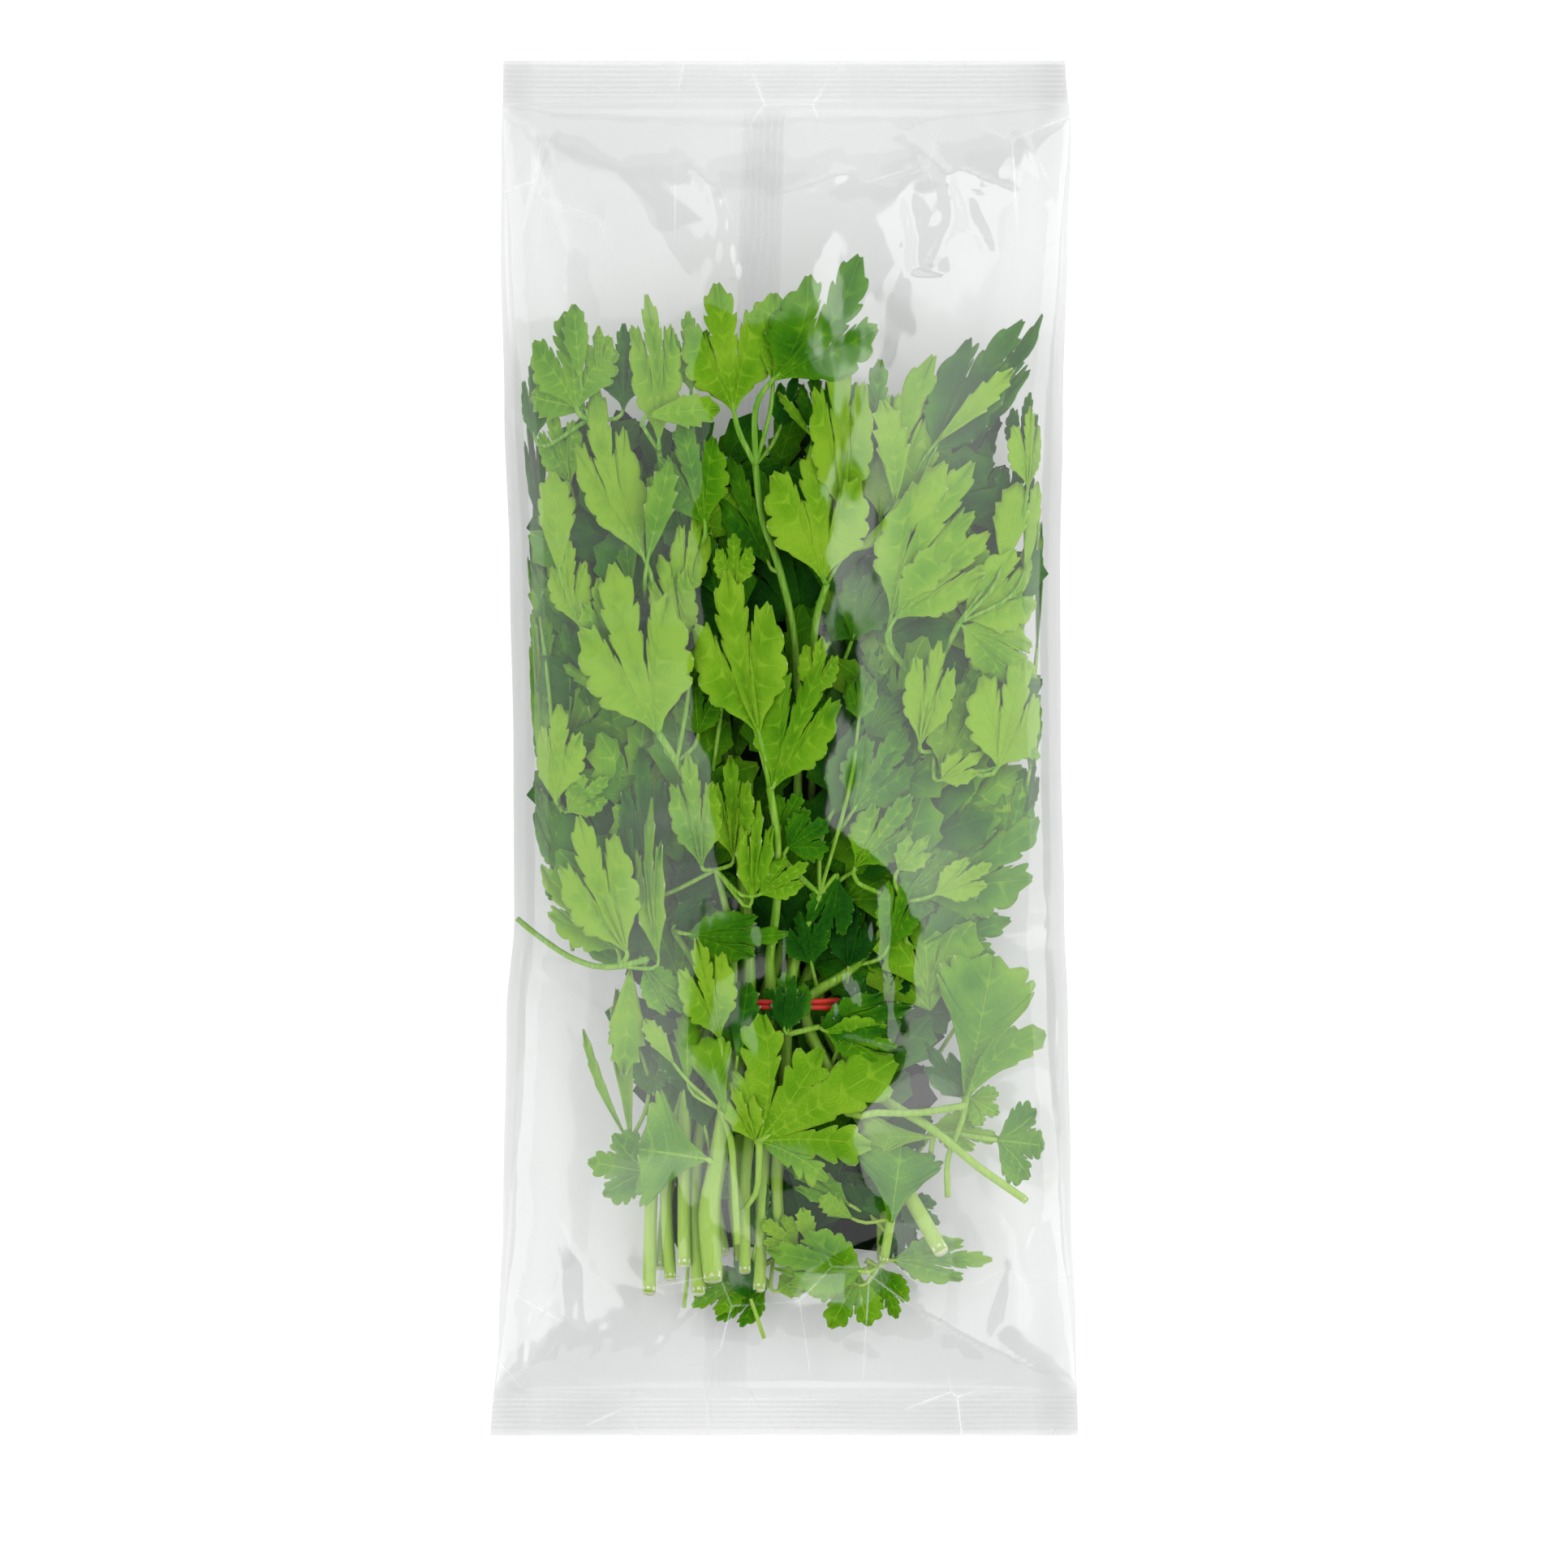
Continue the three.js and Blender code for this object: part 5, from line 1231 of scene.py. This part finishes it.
def tucked_leaves():
    """Leaflets that come up between the others, each on a stalk that dips into the bunch."""
    pieces, stalks = Pieces(), []
    for *row, freshness_and_shade in TUCKED:
        base_x, base_y, tip_x, tip_y, _, layer, _, _ = row
        midrib = leaflet(pieces, (*row, 0, freshness_and_shade), rng)
        back = np.array([base_x - tip_x, base_y - tip_y]) / math.hypot(base_x - tip_x,
                                                                      base_y - tip_y)
        rows = stalk_start(midrib, 0.45)
        for far, sunk in ((5, 1.2), (12, 3.2)):
            x, y = midrib[0][0] + back[0] * far, midrib[0][1] + back[1] * far
            rows.append((x, y, layer_height(min(11.5, layer + sunk), x, y), 0.55))
        stalks.append(eased(rows, STALK_STEP))
    add_stalks(pieces, "tucked_stalks", stalks)
    piece = pieces.mesh("tucked_leaves", (LEAF, STEM))
    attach(piece, "root")


tucked_leaves()

# ---------------------------------------------------------------------------------------------
# Leaves deep in the bunch, under the ones that show
# ---------------------------------------------------------------------------------------------
INNER = np.array((  # y, left edge and right edge of the leafy mass
    (-132, -14, 20), (-109, -20, 28), (-86, -30, 32), (-64, -26, 34), (-41, -44, 38),
    (-18, -52, 48), (5, -54, 54), (74, -52, 54), (97, -46, 46)))
INNER_TOP = 84
PLAIN_LENGTH = 30


def plain_leaf(form, freshness_and_shade, rng):
    """A leaflet with few faces, to be scattered."""
    pieces = Pieces()
    pitch = iter(rng.uniform(-2.6, 0.6, 3))
    for lobe in LOBES[form]:
        grid, vein, pale, _ = lobe_grid(lobe, rng, 2, PLAIN_TOOTH, 2, 1)
        share, out = grid[..., 0], grid[..., 1]
        z = 2.0 * np.abs(out) - 0.5 + next(pitch) * share**2 + 0.8 * np.sin(3 * share)
        surface = np.stack([PLAIN_LENGTH * (share - 0.5), PLAIN_LENGTH * out, z], axis=-1)
        add_lobe(pieces, surface, vein * (1, PLAIN_LENGTH, 1), pale * 0, freshness_and_shade)
    return pieces.mesh(f"Plain_{form}_{freshness_and_shade:.2f}", (SHADED_UNDER_LEAF,))


def under_leaves(name, surface, layers, step, tones, size, seed, lowest=-132, bare=(0, 0),
                 spread=1.0):
    """Leaves scattered at the given layers, turned as the bunch around them grows."""
    draw = np.random.default_rng(seed)
    shapes = bpy.data.collections.new(name + "_shapes")
    made = [plain_leaf(form, tone, draw) for form, tone in zip(("fan", "round", "fan"), tones)]
    for shape in made:
        bpy.context.scene.collection.objects.unlink(shape)
        shapes.objects.link(shape)
    places, turns = [], []
    for layer in layers:
        for row in np.arange(lowest + draw.uniform(0, step), INNER_TOP, step):
            left, right = (np.interp(row, INNER[:, 0], INNER[:, k]) * spread for k in (1, 2))
            count = max(1, int(round((right - left) / step)))
            for column in np.linspace(left, right, count + 1):
                x, y = column + draw.uniform(-5, 5), row + draw.uniform(-6, 6)
                if bare[0] < x < bare[1]:
                    continue
                z = layer_height(layer + draw.uniform(-0.7, 0.7), x, y)
                slope = (layer_height(layer, x + 2, y) - layer_height(layer, x - 2, y)) / 4
                lean = -math.atan2(x + 4, y + 190) * 0.9
                places.append((x * MM, y * MM, z * MM))
                turns.append((draw.uniform(-0.16, 0.16), -math.atan(slope),
                              math.pi / 2 + lean + draw.normal(0, 0.5)))
    data = bpy.data.meshes.new(name + "_places")
    data.from_pydata(places, [], [])
    turn = data.attributes.new("turn", "FLOAT_VECTOR", "POINT")
    turn.data.foreach_set("vector", np.array(turns, dtype=np.float32).ravel())
    piece = grown(name, data, SCATTER, Leaflets=shapes, Size=size, Seed=seed, Surface=surface)
    for shape in made:
        bpy.data.objects.remove(shape)
    bpy.data.collections.remove(shapes)
    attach(piece, "root")


# Their tones are partly the leaves' age and partly painted shade, darker the deeper they lie.
under_leaves("side_leaves", LEAF, (4.7,), 15.0, (0.78, 0.32, 0.58), 0.95, 5, -70, (-20, 13))
under_leaves("inner_leaves", LEAF, (6.6,), 18.0, (0.34, 0.16, 0.46), 0.9, 9)
# The deepest leaves take the darker finish: painted shade between the leaves, deep in the bunch.
under_leaves("under_leaves", SHADED_UNDER_LEAF, (8.6, 10.9), 17.0, (0.2, 0.04, 0.34), 1.05, 8,
             spread=0.86)

# ---------------------------------------------------------------------------------------------
# The rubber band, wound twice round the stems
# ---------------------------------------------------------------------------------------------
TIE = (-4.8, -72, 18.4)
BAND_HALF = (20.3, 9.2)
BAND_CORNER = 0.6
BAND_RADIUS = 0.8
BAND_POINTS = 72


def band_loop(offset, phase):
    path = []
    for angle in np.linspace(0, 2 * np.pi, BAND_POINTS + 1)[:-1]:
        x, z = (middle + half * math.copysign(abs(part) ** BAND_CORNER, part)
                for middle, half, part in ((TIE[0], BAND_HALF[0], math.cos(angle)),
                                           (TIE[2], BAND_HALF[1], math.sin(angle))))
        path.append((x, TIE[1] + offset + 0.35 * math.sin(angle + phase), z, BAND_RADIUS))
    return path


band = swept("rubber_band_loops", [band_loop(-0.85, 0.0), band_loop(0.85, 1.2)], RUBBER, 10,
             ribs=2.0, depth=0.04, closed=True)
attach(band, "root")
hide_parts("rubber_band")


# ---------------------------------------------------------------------------------------------
# The bag's film
# ---------------------------------------------------------------------------------------------
def bag_skin():
    """One closed skin: the front and the back share their outer edge."""
    wander = np.maximum(0, crumple(COLUMN_X, ROW_GRID, 18, 31.0) * 0.5 + 0.2)
    back = back_z(SHARE, ROW_GRID)
    back = back + wander * (1 - np.abs(SHARE) ** 8) * np.clip((182 - np.abs(ROW_GRID)) / 12, 0, 1)
    edge = np.ones_like(COLUMN_X, dtype=bool)
    edge[1:-1, 1:-1] = False
    front = np.where(edge, (FRONT + back) / 2, np.maximum(FRONT, back + 0.3))
    number = np.arange(COLUMN_X.size).reshape(COLUMN_X.shape)
    below = number.copy()
    below[~edge] = COLUMN_X.size + np.arange(np.count_nonzero(~edge))
    points = np.vstack([
        np.stack([COLUMN_X, ROW_GRID, front], axis=-1).reshape(-1, 3),
        np.stack([COLUMN_X, ROW_GRID, back], axis=-1)[~edge],
    ])
    faces = []
    for r in range(FILM_ROWS - 1):
        for c in range(FILM_COLUMNS - 1):
            faces.append((number[r, c], number[r, c + 1], number[r + 1, c + 1],
                          number[r + 1, c]))
            faces.append((below[r, c], below[r + 1, c], below[r + 1, c + 1], below[r, c + 1]))
    pieces = Pieces()
    pieces.add(points, faces)
    return pieces.mesh("bag_skin", (CLEAR,))


skin = bag_skin()
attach(skin, "root")
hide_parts("film_bag")

SEAL_THICKNESS = 0.1
SEAL_MIDDLE = (-17, -5.5)


def back_seal():
    """The lengthwise seal of the back, lying flat inside the skin."""
    rows = np.linspace(-181, 181, 60)
    across = np.array((-6.0, -3.0, 0.0, 3.0, 6.0))
    drift = SEAL_MIDDLE[1] - SEAL_MIDDLE[0]
    middle = SEAL_MIDDLE[0] + drift * (rows + CAVITY_END) / (2 * CAVITY_END)
    x = middle[:, None] + across[None, :]
    y = np.broadcast_to(rows[:, None], x.shape)
    z = back_z(x / half_width(x, y), y) + 0.55 + 0.12 * np.sin(y / 9 + x / 3)
    flat = np.stack([x, y, z], axis=-1).reshape(-1, 3)
    half = (0, 0, SEAL_THICKNESS / 2)
    pieces = Pieces()
    pieces.add(np.vstack([flat + half, flat - half]), sheet_faces(*x.shape, turned=True))
    return pieces.mesh("bag_back_seal", (WELD,))


seal = back_seal()
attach(seal, "root")

# ---------------------------------------------------------------------------------------------
# Floor, lights and camera
# ---------------------------------------------------------------------------------------------
FLOOR_Z = -0.0003
FLOOR_SIDES = 48
FLOOR_RINGS = ((0.6, 0.0), (1.2, 0.0), (2.4, 0.0), (3.0, 0.05), (3.3, 0.18), (3.5, 0.45),
               (3.6, 0.9), (3.6, 2.2))  # radius, height


def floor():
    """A pale sweep: flat under the bag, turning up far away on every side."""
    points, faces = [(0, 0, FLOOR_Z)], []
    for radius, height in FLOOR_RINGS:
        for k in range(FLOOR_SIDES):
            turn = 2 * math.pi * k / FLOOR_SIDES
            points.append((radius * math.cos(turn), radius * math.sin(turn), height + FLOOR_Z))
    for k in range(FLOOR_SIDES):
        n = (k + 1) % FLOOR_SIDES
        faces.append((0, 1 + k, 1 + n))
        for a in range(1, len(points) - FLOOR_SIDES, FLOOR_SIDES):
            b = a + FLOOR_SIDES
            faces.append((a + k, b + k, b + n, a + n))
    data = bpy.data.meshes.new("floor")
    data.from_pydata(points, [], faces)
    data.polygons.foreach_set("use_smooth", [True] * len(faces))
    data.materials.append(floor_finish())
    placed("floor", data)


floor()


def softbox(name, place, turn, size, power):
    data = bpy.data.lights.new(name, "AREA")
    data.shape = "RECTANGLE"
    data.size, data.size_y = size
    data.energy = power
    lamp = placed(name, data)
    lamp.location = place
    lamp.rotation_euler = turn
    lamp.visible_camera = False


LEAN = math.radians(34.8)
SIDE_LAMPS = (  # name, y, length, power at the left and at the right
    ("softbox", 0.7, 1.2, 7.6, 14.0), ("mid_softbox", 0, 0.2, 1.7, 2.2),
    ("low_softbox", -0.7, 1.2, 12.6, 11.8))
for side, hand in ((-1, "Left_"), (1, "Right_")):
    for kind, y, length, *powers in SIDE_LAMPS:
        softbox(hand + kind, (side * 0.98, y, 0.85), (0, side * LEAN, 0), (1.75, length),
                powers[side > 0])
softbox("Head_softbox", (0, 1.15, 1.65), (-LEAN, 0, 0), (1.7, 0.8), 3.2)
softbox("Foot_softbox", (0, -1.15, 1.65), (LEAN, 0, 0), (1.7, 0.8), 2.8)
softbox("Top_light", (0, 2.1, 0.9), (math.radians(-66.8), 0, 0), (2.4, 1.2), 5)

world = bpy.data.worlds.new("Dim_studio")
world.use_nodes = True
world.node_tree.nodes["Background"].inputs["Color"].default_value = (0.01, 0.01, 0.01, 1)
bpy.context.scene.world = world
bpy.context.scene.view_settings.view_transform = "Standard"

EYE_HEIGHT = 2.4
eye = bpy.data.cameras.new("Overhead_camera")
eye.sensor_width = 36
eye.lens = 36 * 2.39 / 0.4418  # 0.4418 m wide at 2.39 m, a little above the floor
eye.clip_end = 20
camera = placed("Overhead_camera", eye)
camera.location = (0, -0.01006, EYE_HEIGHT)
bpy.context.scene.camera = camera
